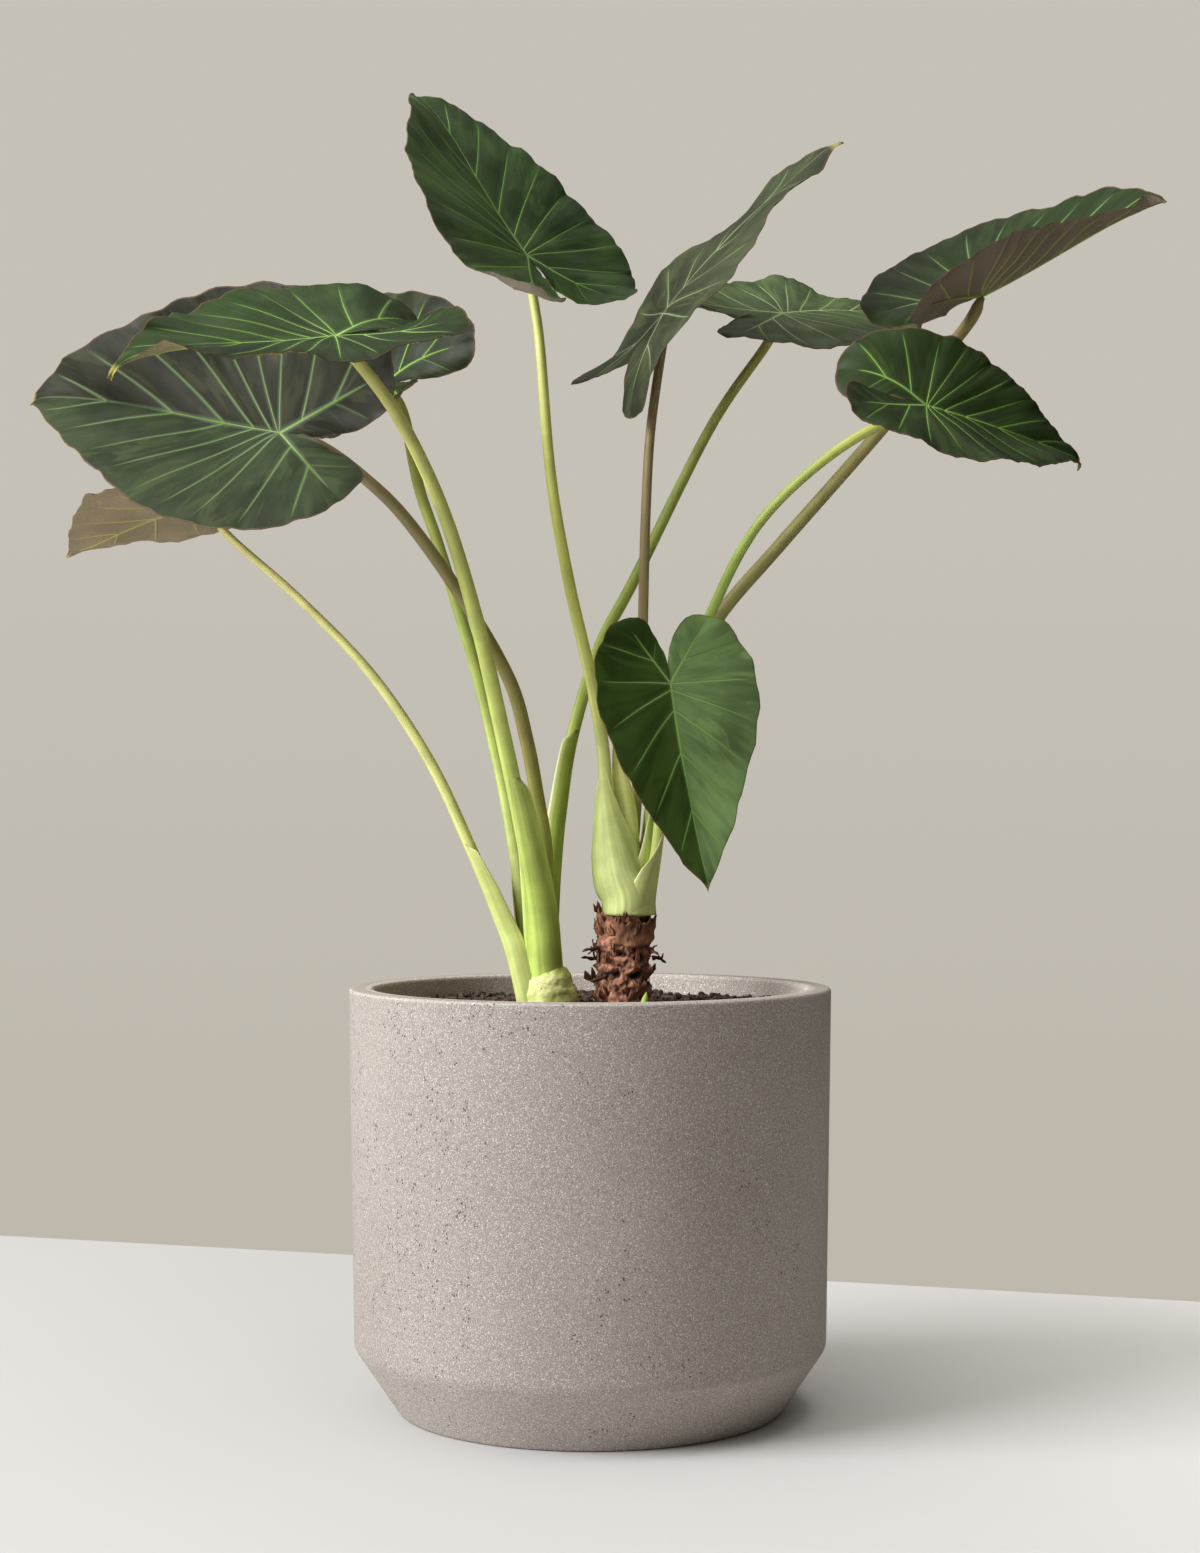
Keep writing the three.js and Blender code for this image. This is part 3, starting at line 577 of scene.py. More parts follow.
def pot_finish():
    """Warm grey cast stone: pale mica specks, and dark pinholes gathered in loose clouds. The
    inner wall, the rim's top and the foot are painted lighter: painted light.
    """
    finish = Finish("cast_stone")
    place = finish.place()
    cloud = finish.noise(place, 5, 3)
    base = finish.mix(finish.ramp(cloud, 0.35, 0.65), colour((140, 130, 122)),
                      colour((150, 140, 132)))
    radial = finish.node("ShaderNodeVectorMath", {0: finish.stretched(place, (1, 1, 0))},
                         "Value", operation="LENGTH")
    flecks = finish.noise(place, 1200, 2)
    base = finish.mix(finish.ramp(flecks, 0.52, 0.68, 0, 0.85), base, colour((206, 201, 196)))
    dirt = finish.noise(place, 900, 2)
    base = finish.mix(finish.ramp(dirt, 0.52, 0.68, 0, 0.6), base, colour((98, 88, 82)))
    across = finish.node("ShaderNodeSeparateXYZ", {0: place}, 0)
    pitted = finish.ramp(across, 0.1, -0.1, -0.09, 0.03)
    gathered = finish.ramp(finish.math("ADD", finish.noise(place, 13, 3), pitted), 0.44, 0.56)
    spots = finish.cells(finish.stretched(place, (1, 1, 0.8)), 400)
    size = finish.ramp(finish.noise(place, 150, 2), 0.47, 0.62, 0.0, 0.3)
    hole = finish.ramp(finish.math("SUBTRACT", spots, finish.math("MULTIPLY", size, gathered)),
                       0.01, -0.03)
    base = finish.mix(finish.math("MULTIPLY", hole, 0.85), base, colour((62, 52, 46)))
    height = finish.node("ShaderNodeSeparateXYZ", {0: place}, 2)
    # painted light: the stone is made lighter on the inner wall, on the rim's top and on the foot's
    # chamfer, standing in for the light and floor bounce that fall there
    rim_middle = POT_HIGH.x - POT_WALL / 2
    inside = finish.math("MULTIPLY", finish.ramp(radial, rim_middle, rim_middle - 4 * MM),
                         finish.ramp(height, FOOT_HEIGHT + 4 * MM, FOOT_HEIGHT + 9 * MM))
    foot = finish.ramp(height, FOOT_HEIGHT + 3 * MM, FOOT_HEIGHT - 3 * MM, 0, 0.31)
    rim = finish.ramp(height, POT_HIGH.z - 3 * MM, POT_HIGH.z - 1 * MM, 0, 0.45)
    painted_light = finish.math("MAXIMUM", finish.math("MAXIMUM", inside, rim), foot)
    base = finish.scaled(base, finish.ramp(painted_light, 0, 1, 1, 1.8))
    relief = finish.math("SUBTRACT", finish.math("MULTIPLY", flecks, 0.35), hole)
    finish.bump(relief, 0.5 * MM, 0.5)
    return finish.done(base, finish.ramp(flecks, 0.5, 0.75, 0.7, 0.55))


# ---------------------------------------------------------------- blades
OUTER_CURVE = smooth_line(OUTER_MARGIN)
INNER_CURVE = smooth_line(INNER_MARGIN)


def blade_axes(turn):
    """Columns: the midrib's direction, the left side and the upper face's normal."""
    heading, pitch, roll = np.radians(turn)
    forward = np.array([math.cos(heading) * math.cos(pitch), math.sin(heading) * math.cos(pitch),
                        math.sin(pitch)])
    level = np.array([-math.sin(heading), math.cos(heading), 0])
    upright = np.cross(forward, level)
    left = level * math.cos(roll) + upright * math.sin(roll)
    up = upright * math.cos(roll) - level * math.sin(roll)
    return np.stack([forward, left, up])


def rolled(shares, margin, half, rolls):
    """Shares along the veins and heights, as shares too, after the margin's curls."""
    flat = np.broadcast_to(shares, (len(margin), len(shares))).copy()
    rise = np.zeros_like(flat)
    for on_half, middle, spread, angle, start in rolls:
        if on_half != half:
            continue
        weight = np.clip(1 - ((margin - middle) / spread) ** 2, 0, 1) ** 2
        turn = np.radians(angle) * weight[:, None]
        turn = np.where(np.abs(turn) < 1e-6, 1e-6, turn)
        past = np.clip((flat - start) / (1 - start), 0, 1)
        bent = start + (1 - start) * np.sin(turn * past) / turn
        rise += (1 - start) * (1 - np.cos(turn * past)) / turn
        flat = np.where(flat > start, bent, flat)
    return flat, rise


def vein_plan(blade):
    return VEIN_PLANS[blade["plan"]]


def outer_patch(blade, half, veins):
    """Flat points from the ribs to the outer margin, with heights, for one half."""
    plan = vein_plan(blade)
    roots = np.interp(veins, range(len(plan["roots"])), plan["roots"])
    on_lobe = (roots < 0)[:, None]
    starts = np.where(on_lobe, -roots[:, None] * BASAL_RIB,
                      np.stack([roots * MIDRIB_END, 0 * roots], -1))
    ends = points_along(OUTER_CURVE, np.interp(veins, range(len(plan["ends"])), plan["ends"]))
    return patch(blade, half, veins, veins, starts, ends, np.clip(roots + 0.25, 0, 1))


def inner_patch(blade, half, veins):
    """Flat points from the basal rib to the notch, with heights, for one half."""
    roots = vein_plan(blade)["roots"]
    places = -np.interp(veins, range(len(roots)), roots)
    starts = places[:, None] * BASAL_RIB
    ends = points_along(INNER_CURVE, places)
    ends[:, 1] -= blade["close"] * np.sin(math.pi * places)
    return patch(blade, half, veins, -veins, starts, ends, 0 * veins)


def patch(blade, half, veins, margin, starts, ends, bowed):
    """Points and shading values of a patch whose rows run from starts to ends."""
    between = np.abs(veins - np.round(veins))
    swell = np.sin(math.pi * veins) ** 2
    reach = np.linalg.norm(ends - starts, axis=1)
    shares, rise = rolled(COLUMNS, margin, half, blade["rolls"])
    shares = shares * (1 + 0.022 * swell[:, None] * COLUMNS**4)
    flat = starts[:, None] * (1 - shares[..., None]) + ends[:, None] * shares[..., None]
    flat[..., 0] -= VEIN_BOW * shares * (1 - shares) * (reach * bowed)[:, None]
    flat[..., 0] += blade["drip"][0] * smoothstep(0.93, 1.0, flat[..., 0])

    per_vein = len(ROW_STEPS)
    low = np.minimum(np.arange(len(veins)) // per_vein, (len(veins) - 1) // per_vein - 1)
    stretch = np.stack([flat[(n + 1) * per_vein] - flat[n * per_vein] for n in low])
    vein_way = np.gradient(flat, axis=1)
    vein_way /= np.linalg.norm(vein_way, axis=2)[..., None] + 1e-12
    spacing = np.abs(stretch[..., 0] * vein_way[..., 1] - stretch[..., 1] * vein_way[..., 0])
    return dict(flat=flat, rise=rise * reach[:, None], margin=margin[:, None] + 0 * shares,
                share=COLUMNS[None] + 0 * shares, spacing=spacing, reach=reach[:, None] + 0 * shares,
                between=between[:, None] + 0 * shares, swell=swell[:, None] + 0 * shares,
                veins=veins[:, None] + 0 * shares)


def rib_distance(flat):
    """Distance to the midrib or basal rib, and how far along that rib, as shares."""
    best = np.full(flat.shape[:-1], np.inf)
    place = np.zeros_like(best)
    for end in (np.array([MIDRIB_END, 0]), BASAL_RIB):
        along = np.clip(flat @ end / end.dot(end), 0, 1)
        away = np.linalg.norm(flat - along[..., None] * end, axis=-1)
        closer = away < best
        best = np.where(closer, away, best)
        place = np.where(closer, along, place)
    return best, place


def bent(blade, half, flat, height):
    """A flat patch with heights, in millimetres, bent into the blade's shape in its frame."""
    length = blade["length"]
    share = flat[..., 0] * np.where(flat[..., 0] < 0, blade["lobe"], 1)
    aside = np.abs(flat[..., 1]) * blade["width"] * length
    fold_left, fold_right, fold_tip = blade["fold"]
    fold = np.radians((fold_left if half > 0 else fold_right) + fold_tip * np.clip(share, 0, 1))
    turn = math.radians(blade["cup"]) / (HALF_WIDTH * length) or 1e-9
    slope = fold + turn * aside
    out = (np.sin(slope) - np.sin(fold)) / turn
    up = -(np.cos(slope) - np.cos(fold)) / turn
    out = out - height * np.sin(slope)
    up = up + height * np.cos(slope)

    bend, curl, sweep = blade["bow"]
    lift = blade["lift"][0 if half > 0 else 1]
    drop = blade["drip"][1]
    ahead = share >= 0

    def pitch_at(reach):
        tip = drop * smoothstep(0.9, 1.05, reach)
        fore = bend * reach + curl * reach**4 + tip
        aft = -lift * np.clip((reach - 0.1) / 0.33, 0, 2)
        return np.radians(np.where(ahead, fore, aft))

    def heading_at(reach):
        return np.radians(np.where(ahead, sweep * reach, 0))

    steps = 24
    stride = np.abs(share) * length / steps
    sign = np.where(ahead, 1, -1)
    spine = np.zeros((*share.shape, 3))
    for step in range(steps):
        reach = np.abs(share) * (step + 0.5) / steps
        pitch, heading = pitch_at(reach), heading_at(reach)
        spine[..., 0] += sign * stride * np.cos(pitch) * np.cos(heading)
        spine[..., 1] += stride * np.cos(pitch) * np.sin(heading)
        spine[..., 2] += sign * stride * np.sin(pitch)
    pitch, heading = pitch_at(np.abs(share)), heading_at(np.abs(share))
    forward = np.stack([np.cos(pitch) * np.cos(heading), np.cos(pitch) * np.sin(heading),
                        np.sin(pitch)], -1)
    across = np.stack([-np.sin(heading), np.cos(heading), 0 * heading], -1)
    normal = np.cross(forward, across)
    spine += half * out[..., None] * across + up[..., None] * normal
    return np.asarray(blade["joint"]) + spine @ blade_axes(blade["turn"])


# Millimetres: how far from a rib the blade starts to move, and how high the frills of its
# margin, the pleats near it and the slow buckles all over are. blade_part's waves count in
# radians for each vein along the margin.
RIB_STIFF, FRILL, PLEAT, BUCKLE = 6, 0.8, 0.75, 1.6


def blade_part(name, half, make_patch, veins, offset):
    """Points in millimetres, faces and shading values of one patch of a blade."""
    blade = BLADES[name]
    length = blade["length"]
    part = make_patch(blade, half, veins)
    flat, share = part["flat"], part["share"]
    distance, along = rib_distance(flat)
    distance = distance * length
    away = 1 - np.exp(-distance / RIB_STIFF)
    phase = offset + (0 if half > 0 else 2.1)
    uneven = 1 + 0.5 * np.sin(1.9 * part["margin"] + 3 * phase)
    height = blade["puff"] * uneven * part["swell"] * part["spacing"] * length * away
    height *= 1 - 0.45 * share**3
    height += blade["wave"] * share**3 * np.sin(2 * part["margin"] + phase) * away
    height += FRILL * share**6 * np.sin(5.3 * part["margin"] + 2 * phase)
    pleats = np.sin(13 * part["margin"] + 4 * share + phase) * np.sin(3.1 * part["margin"] + phase)
    height += PLEAT * share**3 * away * pleats
    buckles = np.sin(11 * flat[..., 0] + phase) * np.sin(9 * flat[..., 1] + phase)
    height += BUCKLE * away * buckles
    height += part["rise"] * length
    points = bent(blade, half, flat, height)

    half_vein = 0.5 - 0.28 * share
    lateral = part["between"] * part["spacing"] * length / half_vein
    clear = (1 - smoothstep(0.72, 0.97, share)) * smoothstep(0.6, 0.95, part["veins"])
    if make_patch is inner_patch:
        clear = clear * smoothstep(1.6, 0.4, part["veins"]) * 0.7
    values = dict(
        rib=distance / (1.0 - 0.75 * along) + 2 * smoothstep(0.9, 1.0, along),
        vein=lateral, clear=clear,
        half=np.full_like(share, 0.0 if half > 0 else 1.0),
        reach=np.linalg.norm(flat, axis=-1) * length,
        edge=(1 - share) * part["reach"] * length * 0.8,
        grid=np.stack([part["margin"] * 26, share * part["reach"] * length,
                       np.full_like(share, half * 40.0 + offset)], -1))
    rows, columns = share.shape
    faces = grid_faces(rows, columns)
    if (half > 0) == (make_patch is outer_patch):
        faces = [face[::-1] for face in faces]
    flattened = {key: v.reshape(-1, *v.shape[2:]) for key, v in values.items()}
    return points.reshape(-1, 3), faces, flattened


def welded(points, faces, values):
    """The same mesh with points that coincide joined and faces that lost an edge closed up."""
    keys = np.round(points / 1e-4).astype(np.int64)
    _, kept, place = np.unique(keys, axis=0, return_index=True, return_inverse=True)
    place = place.ravel()
    whole = []
    for face in faces:
        corners = [place[i] for i in face]
        corners = [c for i, c in enumerate(corners) if c != corners[i - 1]]
        if len(corners) > 2 and len(set(corners)) == len(corners):
            whole.append(tuple(corners))
    return points[kept], whole, {key: value[kept] for key, value in values.items()}


def point_normals(points, faces):
    normals = np.zeros_like(points)
    corners = np.array([face if len(face) == 4 else (*face, face[2]) for face in faces])
    a, b, c, d = (points[corners[:, i]] for i in range(4))
    area = np.cross(c - a, d - b)
    for i in range(4):
        np.add.at(normals, corners[:, i], area)
    return normals / (np.linalg.norm(normals, axis=1)[:, None] + 1e-12)


def open_edges(faces):
    """Directed edges that only one face has."""
    edges = {(face[i - 1], face[i]) for face in faces for i in range(len(face))}
    return [(a, b) for a, b in edges if (b, a) not in edges]


def shell_faces(faces, count):
    """Faces of a closed shell whose second layer of count points lies under the first."""
    rim = [(b, a, a + count, b + count) for a, b in sorted(open_edges(faces))]
    return faces + [tuple(i + count for i in face[::-1]) for face in faces] + rim


# Millimetres: half a blade's thickness, what its margin lacks of it and how wide the margin is.
THICK, MARGIN_THIN, MARGIN = 0.55, 0.33, 6
# How deep a vein lies in the upper face, and how far veins and ribs stand out underneath.
GROOVE, VEIN_RIDGE, RIB_RIDGE = 0.35, 0.75, 1.5


def make_blade(name, offset):
    """A whole blade: its two halves and lobes in one closed shell; offset varies its waves."""
    plan = vein_plan(BLADES[name])
    last = len(plan["roots"]) - 1
    veins = np.array([vein + step for vein in range(last) for step in ROW_STEPS] + [last])
    lobe = veins[veins <= plan["on_lobe"]]
    parts = []
    for half in (1, -1):
        parts.append(blade_part(name, half, outer_patch, veins, offset))
        parts.append(blade_part(name, half, inner_patch, lobe, offset))
    points, faces, values = welded(*joined(parts))
    normals = point_normals(points, faces)

    thick = THICK - MARGIN_THIN * smoothstep(MARGIN, 0, values["edge"])
    groove = GROOVE * np.exp(-values["vein"] ** 2) * values["clear"]
    ridge = VEIN_RIDGE * np.exp(-(values["vein"] / 1.3) ** 2) * values["clear"]
    stout = np.clip(1 - (values["rib"] / 1.9) ** 2, 0, 1) ** 0.5
    ridge = np.maximum(ridge, RIB_RIDGE * stout * smoothstep(4, 16, values["edge"]))
    upper = points + normals * (thick - groove)[:, None]
    lower = points - normals * (thick + ridge)[:, None]
    shell = shell_faces(faces, len(points))
    kinds = [0] * len(faces) + [1] * len(faces) + [0] * (len(shell) - 2 * len(faces))
    both = {key: np.concatenate([value, value]) for key, value in values.items()}
    tones = dict(zip(TONE_NAMES, BLADE_TONES[name]))
    make_piece(f"{name}_leaf_blade", placed(np.vstack([upper, lower])), shell,
               [blade_upper(name, tones), blade_under(name, tones)],
               node=f"{name}_blade", values=both, kinds=kinds)


# ---------------------------------------------------------------- petioles
def petiole_line(name):
    """The petiole's centre line, from inside its crown to the blade's underside."""
    petiole, blade = PETIOLES[name], BLADES[name]
    x, y = petiole["base"]
    foot = petiole["crown"][2]
    up = blade_axes(blade["turn"])[2]
    end = np.asarray(blade["joint"]) - 1.6 * up
    rise = petiole.get("foot", [(x, y, foot), (x, y, foot + UPRIGHT_FOOT)])
    route = [*rise, *petiole["route"], tuple(end)]
    return smooth_line(route, 24)


def round_part(line, radius_at, sides=24, spread=4.0):
    """A tube along a line with shading values; radius_at takes the share done."""
    length = travelled(line)[-1]
    shares = np.linspace(0, 1, max(8, int(length / spread)))
    centres = points_along(line, shares)
    tangents, side = frames_along(centres)
    depth = np.cross(tangents, side)
    angles = 2 * math.pi * np.arange(sides) / sides
    rings = []
    for i, share in enumerate(shares):
        radius = radius_at(share, angles)[:, None]
        rings.append(centres[i] + radius * (np.cos(angles)[:, None] * side[i]
                                            + np.sin(angles)[:, None] * depth[i]))
    points, faces = capped_tube(rings)
    along = np.append(np.repeat(shares, sides), [0, 1])
    turned = np.append(np.tile(angles, len(shares)), [0, 0])
    skin = np.stack([4 * np.cos(turned), along * length, 4 * np.sin(turned)], -1)
    zeros = np.zeros(len(points))
    return points, faces, dict(along=along, skin=skin, wing=zeros, painted_hollow_shade=zeros, dry=zeros)


def sheath_part(name, line):
    """The open sheath that wraps the crown below, a thin shell that narrows to a point."""
    petiole = PETIOLES[name]
    length = travelled(line)[-1]
    top = petiole["top"] / length
    rows, columns = 56, 33
    shares = np.linspace(0, 1, rows)
    centres = points_along(line, shares * top)
    tangents, _ = frames_along(centres)
    outward = direction(petiole["back"])
    points = []
    values = dict(along=[], wing=[], skin=[], painted_hollow_shade=[], dry=[])
    for share, centre, tangent in zip(shares, centres, tangents):
        back = outward - tangent * outward.dot(tangent)
        back /= np.linalg.norm(back)
        side = np.cross(tangent, back)
        body = np.interp(share * top, [0, 1], petiole["radii"])
        girth = max(table_value(petiole["girth"], share), body * 0.98)
        clockwise = math.radians(table_value(petiole["wings"], share, 1))
        anticlockwise = math.radians(table_value(petiole["wings"], share, 2))
        reach = np.linspace(-1, 1, columns)
        angle = np.where(reach < 0, reach * clockwise, reach * anticlockwise)
        middle = centre - (girth - body) * back
        thickness = 0.5 + 1.4 * (1 - np.abs(reach) ** 1.5)
        flare = 1 + 0.05 * np.abs(reach) ** 3
        for radius, inside in ((girth * flare - 0.25, 0), (girth * flare - 0.25 - thickness, 1)):
            ring = middle + radius[:, None] * (np.cos(angle)[:, None] * back
                                               + np.sin(angle)[:, None] * side)
            points.append(ring if not inside else ring[::-1])
            order = reach if not inside else reach[::-1]
            values["along"].append(np.full(columns, share * top))
            values["wing"].append(np.abs(order))
            values["skin"].append(np.stack([
                order * girth * 2, np.full(columns, share * petiole["top"]),
                np.full(columns, inside * 9.0)], -1))
            # painted shade: the groove beside the body and the whole inner face are marked to be
            # drawn darker green
            groove = 0.75 * np.exp(-(((np.abs(order) - 0.5) / 0.16) ** 2))
            values["painted_hollow_shade"].append(np.maximum(groove, float(inside)) * (1 - 0.5 * share))
            values["dry"].append(smoothstep(0.965, 1.0, share)
                                 * smoothstep(0.3, 0.9, np.abs(order)))
    points = np.vstack(points)
    loop = 2 * columns
    faces = grid_faces(rows, loop, closed=True)
    for row, flip in ((0, True), (rows - 1, False)):
        for i in range(columns - 1):
            a, b = row * loop + i, row * loop + i + 1
            c, d = row * loop + loop - 2 - i, row * loop + loop - 1 - i
            faces.append((a, b, c, d)[::-1] if flip else (a, b, c, d))
    return points, faces, {key: np.concatenate(value) for key, value in values.items()}


NECK, NECK_LENGTH = 0.42, 9       # how much a petiole narrows under its blade, and over what
KNEE, KNEE_BACK = 0.05, 16        # how much it swells before that, and how far back


def make_petiole(name):
    petiole = PETIOLES[name]
    line = petiole_line(name)
    length = travelled(line)[-1]
    low, high = petiole["radii"]

    def radius_at(share, angles):
        radius = low + (high - low) * share
        neck = 1 - NECK * smoothstep(length - NECK_LENGTH, length, share * length)
        knee = 1 + KNEE * math.exp(-((length * (1 - share) - KNEE_BACK) / NECK_LENGTH) ** 2)
        return radius * neck * knee * (1 + 0.025 * np.cos(3 * angles + 5 * share))

    parts = [round_part(line, radius_at), sheath_part(name, line)]
    points, faces, values = joined(parts)
    make_piece(f"{name}_leaf_stalk", placed(points), faces,
               [petiole_finish(name, PETIOLE_TONES[name])], node=f"{name}_petiole",
               values=values)


def make_young_leaf():
    """The rolled spear: its outer edge overlaps in a long seam and it ends in a point."""
    line = smooth_line([(24, 12, 64), (28, 10, 95), (27, 8, 125), (24, 7, 155), (17, 6, 192)], 16)

    def radius_at(share, angles):
        girth = table_value([(0, 8), (0.3, 9), (0.6, 8.6), (0.8, 6), (0.93, 2.6), (1, 0.5)],
                            share)
        seam = (angles + 1.2 + 2.2 * share) % (2 * math.pi) / (2 * math.pi)
        return girth * (0.94 + 0.14 * seam)

    points, faces, values = round_part(line, radius_at, sides=40, spread=2.5)
    tones = [(224, 230, 150), (220, 228, 136), (222, 226, 146)]
    make_piece("rolled_young_leaf", placed(points), faces, [petiole_finish("young", tones)],
               node="young_leaf", values=values)


# ---------------------------------------------------------------- crowns
def relief_at(point, scale, octaves=4):
    """Smooth seeded noise, about -1 to 1, at a point in millimetres."""
    return noise.fractal(Vector(point) * scale, 1.0, 2.0, octaves)


def lumpy_turned(centre, profile, rows, sides, displace):
    """A turned body in millimetres, with a value at each point: displace takes a point, its
    height and its angle, and gives how far it moves outward and that value."""
    line = points_along(np.asarray(profile, float), np.linspace(0, 1, rows))
    points, extra = [], []
    for radius, height in line:
        for side in range(sides):
            angle = 2 * math.pi * side / sides
            out = np.array(polar(1, angle))
            at = np.array([*centre, height]) + radius * out
            move, mark = displace(at, height, angle)
            points.append(at + out * move * min(1, radius / 6))
            extra.append(mark)
    shape, faces = capped_tube(list(np.array(points).reshape(rows, sides, 3)))
    return shape, faces, np.append(extra, [0, 0])


def make_corm():
    x, y, _ = LEFT_CROWN

    def displace(at, height, angle):
        tilt = height + 4.5 * math.cos(angle + 0.5) + 1.6 * relief_at(at, 0.11)
        ring = math.exp(-((tilt - 19) / 0.8) ** 2)
        step = 1.3 * smoothstep(19.8, 18.2, tilt)
        move = 1.2 * relief_at(at, 0.09) + 0.3 * relief_at(at, 0.5) - 0.5 * ring + step
        return move, ring

    profile = [(10, -34), (17, -20), (19.5, -8), (19.8, 2), (18.8, 12), (16.8, 21), (12, 28),
               (4, 30)]
    points, faces, ring = lumpy_turned((x + 6, y - 6), profile, 80, 120, displace)
    make_piece("swollen_corm", placed(points), faces, [corm_finish()], node="left_corm",
               values=dict(ring=ring))


def make_rhizome():
    x, y, _ = RIGHT_CROWN
    scars = (6, 20, 35, 50)

    def displace(at, height, angle):
        tilt = height + 3 * math.sin(angle + 0.8) + 2.5 * relief_at(at, 0.07)
        scar = max(math.exp(-((tilt - level) / 2.2) ** 2) for level in scars)
        rough = relief_at(at, 0.16, 5) * 3.4 + abs(relief_at(at, 0.45, 4)) * 1.8
        # the second value, the bark's relief, is lower in pits and ring scars, where the bark is
        # drawn darker: partly painted shade
        return rough - 2.4 * scar, 0.55 + 0.2 * rough - 0.5 * scar

    profile = [(14, -42), (19, -22), (19.5, 0), (18.5, 20), (19, 38), (20, 56), (17, 66),
               (8, 70)]
    points, faces, relief = lumpy_turned((x - 2, y), profile, 110, 150, displace)
    flakes = bark_flakes((x - 2, y), 44, (2, 58), 18.5)
    points, faces, values = joined([(points, faces, dict(relief=relief)), *flakes])
    bark = bark_finish("rhizome_bark", (196, 138, 108), (134, 88, 68), (48, 31, 26))
    make_piece("ringed_rhizome", placed(points), faces, [bark], node="right_rhizome",
               values=values)


def bark_flakes(centre, count, heights, radius):
    """Thin torn strips of old sheath that stand off the bark."""
    parts = []
    for _ in range(count):
        around = rng.uniform(0, 2 * math.pi)
        height = rng.uniform(*heights)
        wide, tall = rng.uniform(3, 9), rng.uniform(3, 9)
        lean, curl = rng.uniform(-0.2, 0.9), rng.uniform(-0.8, 1.2)
        rows, columns = 7, 6
        shell = []
        for row in range(rows):
            up = row / (rows - 1)
            for column in range(columns):
                aside = column / (columns - 1) - 0.5
                angle = around + aside * wide * (1 - 0.5 * up) / radius
                out = radius + 0.6 + tall * (lean * up + curl * up * up * 0.5)
                out += 0.8 * relief_at((aside * wide, up * tall, count + around), 0.4)
                rise = up * tall * (1 + 0.5 * math.sin(9 * aside + around))
                shell.append(polar(out, angle, height + rise))
        shell = np.array(shell) + np.array([*centre, 0])
        parts.append(thin_shell(shell, rows, columns, 0.35, rng.uniform(0.3, 0.9)))
    return parts


def thin_shell(points, rows, columns, thickness, mark):
    """A closed shell from a grid of points, with one relief value all over."""
    faces = grid_faces(rows, columns)
    normals = point_normals(points, faces)
    both = np.vstack([points + normals * thickness / 2, points - normals * thickness / 2])
    return both, shell_faces(faces, len(points)), dict(relief=np.full(len(both), mark))


def make_collar():
    """The dry frayed sheath round the rhizome's top: a torn ring of papery strips."""
    x, y, _ = RIGHT_CROWN
    rows, columns = 12, 130
    shell = []
    for row in range(rows):
        up = row / (rows - 1)
        for column in range(columns):
            angle = 2 * math.pi * column / (columns - 1)
            fray = relief_at(polar(6, angle, 3), 0.55, 5)
            low = 46 + 3 * math.sin(2 * angle + 1)
            high = 62 + 5 * fray + 2.5 * math.sin(angle * 9)
            out = 20.6 + 1.1 * relief_at(polar(20, angle, 16 * up), 0.25)
            out += 1.8 * up**3 * (0.5 + fray)
            shell.append(polar(out, angle, low + (high - low) * up))
    parts = [thin_shell(np.array(shell) + np.array([x, y, 0]), rows, columns, 0.6, 0.7),
             *bark_flakes((x, y), 18, (50, 64), 20.5)]
    points, faces, values = joined(parts)
    bark = bark_finish("papery_sheath", (176, 122, 88), (122, 80, 56), (58, 38, 30))
    make_piece("frayed_collar", placed(points), faces, [bark], node="dried_sheath_collar",
               values=values)


# Dry roots: direction round the rhizome, height, length, rise and how many side twigs.
ROOTS = [(200, 42, 15, 12, 3), (172, 34, 11, 25, 2), (222, 22, 14, -35, 2), (-8, 34, 9, 20, 2),
         (-35, 42, 7, -10, 1), (80, 30, 12, -25, 2)]


def make_root(number, around, height, length, rise, twigs):
    x, y, _ = RIGHT_CROWN
    out = direction(around)
    start = np.array([x, y, height]) + 19.5 * out
    parts = []
    for twig in range(twigs + 1):
        reach = (length + 3) * (1 if twig == 0 else rng.uniform(0.35, 0.6))
        heading = direction(around + (0 if twig == 0 else rng.uniform(-70, 70)))
        slope = math.radians(rise + (0 if twig == 0 else rng.uniform(-50, 60)))
        way = heading * math.cos(slope) + np.array([0, 0, math.sin(slope)])
        begin = start + (0 if twig == 0 else out * rng.uniform(3, 8))
        line = [begin]
        for _ in range(4):
            way = way + rng.normal(0, 0.28, 3)
            way /= np.linalg.norm(way)
            line.append(line[-1] + way * reach / 4)
        thick = 1.7 if twig == 0 else 0.9
        lumps = rng.uniform(0, 6)

        def radius_at(share, angles, thick=thick, lumps=lumps):
            wob = 1 + 0.22 * np.sin(3 * angles + 9 * share + lumps) + 0.25 * math.sin(17 * share)
            return thick * (1 - 0.6 * share) * wob

        parts.append(round_part(smooth_line(line, 10), radius_at, sides=10, spread=0.9))
    points, faces, values = joined(parts)
    values["relief"] = 0.35 + 0.4 * rng.random(len(points))
    bark = bark_finish(f"root_{number}_skin", (122, 74, 50), (84, 50, 36), (38, 24, 20))
    make_piece(f"dry_root_{number}", placed(points), faces, [bark], node=f"root_stub_{number}",
               values=values)


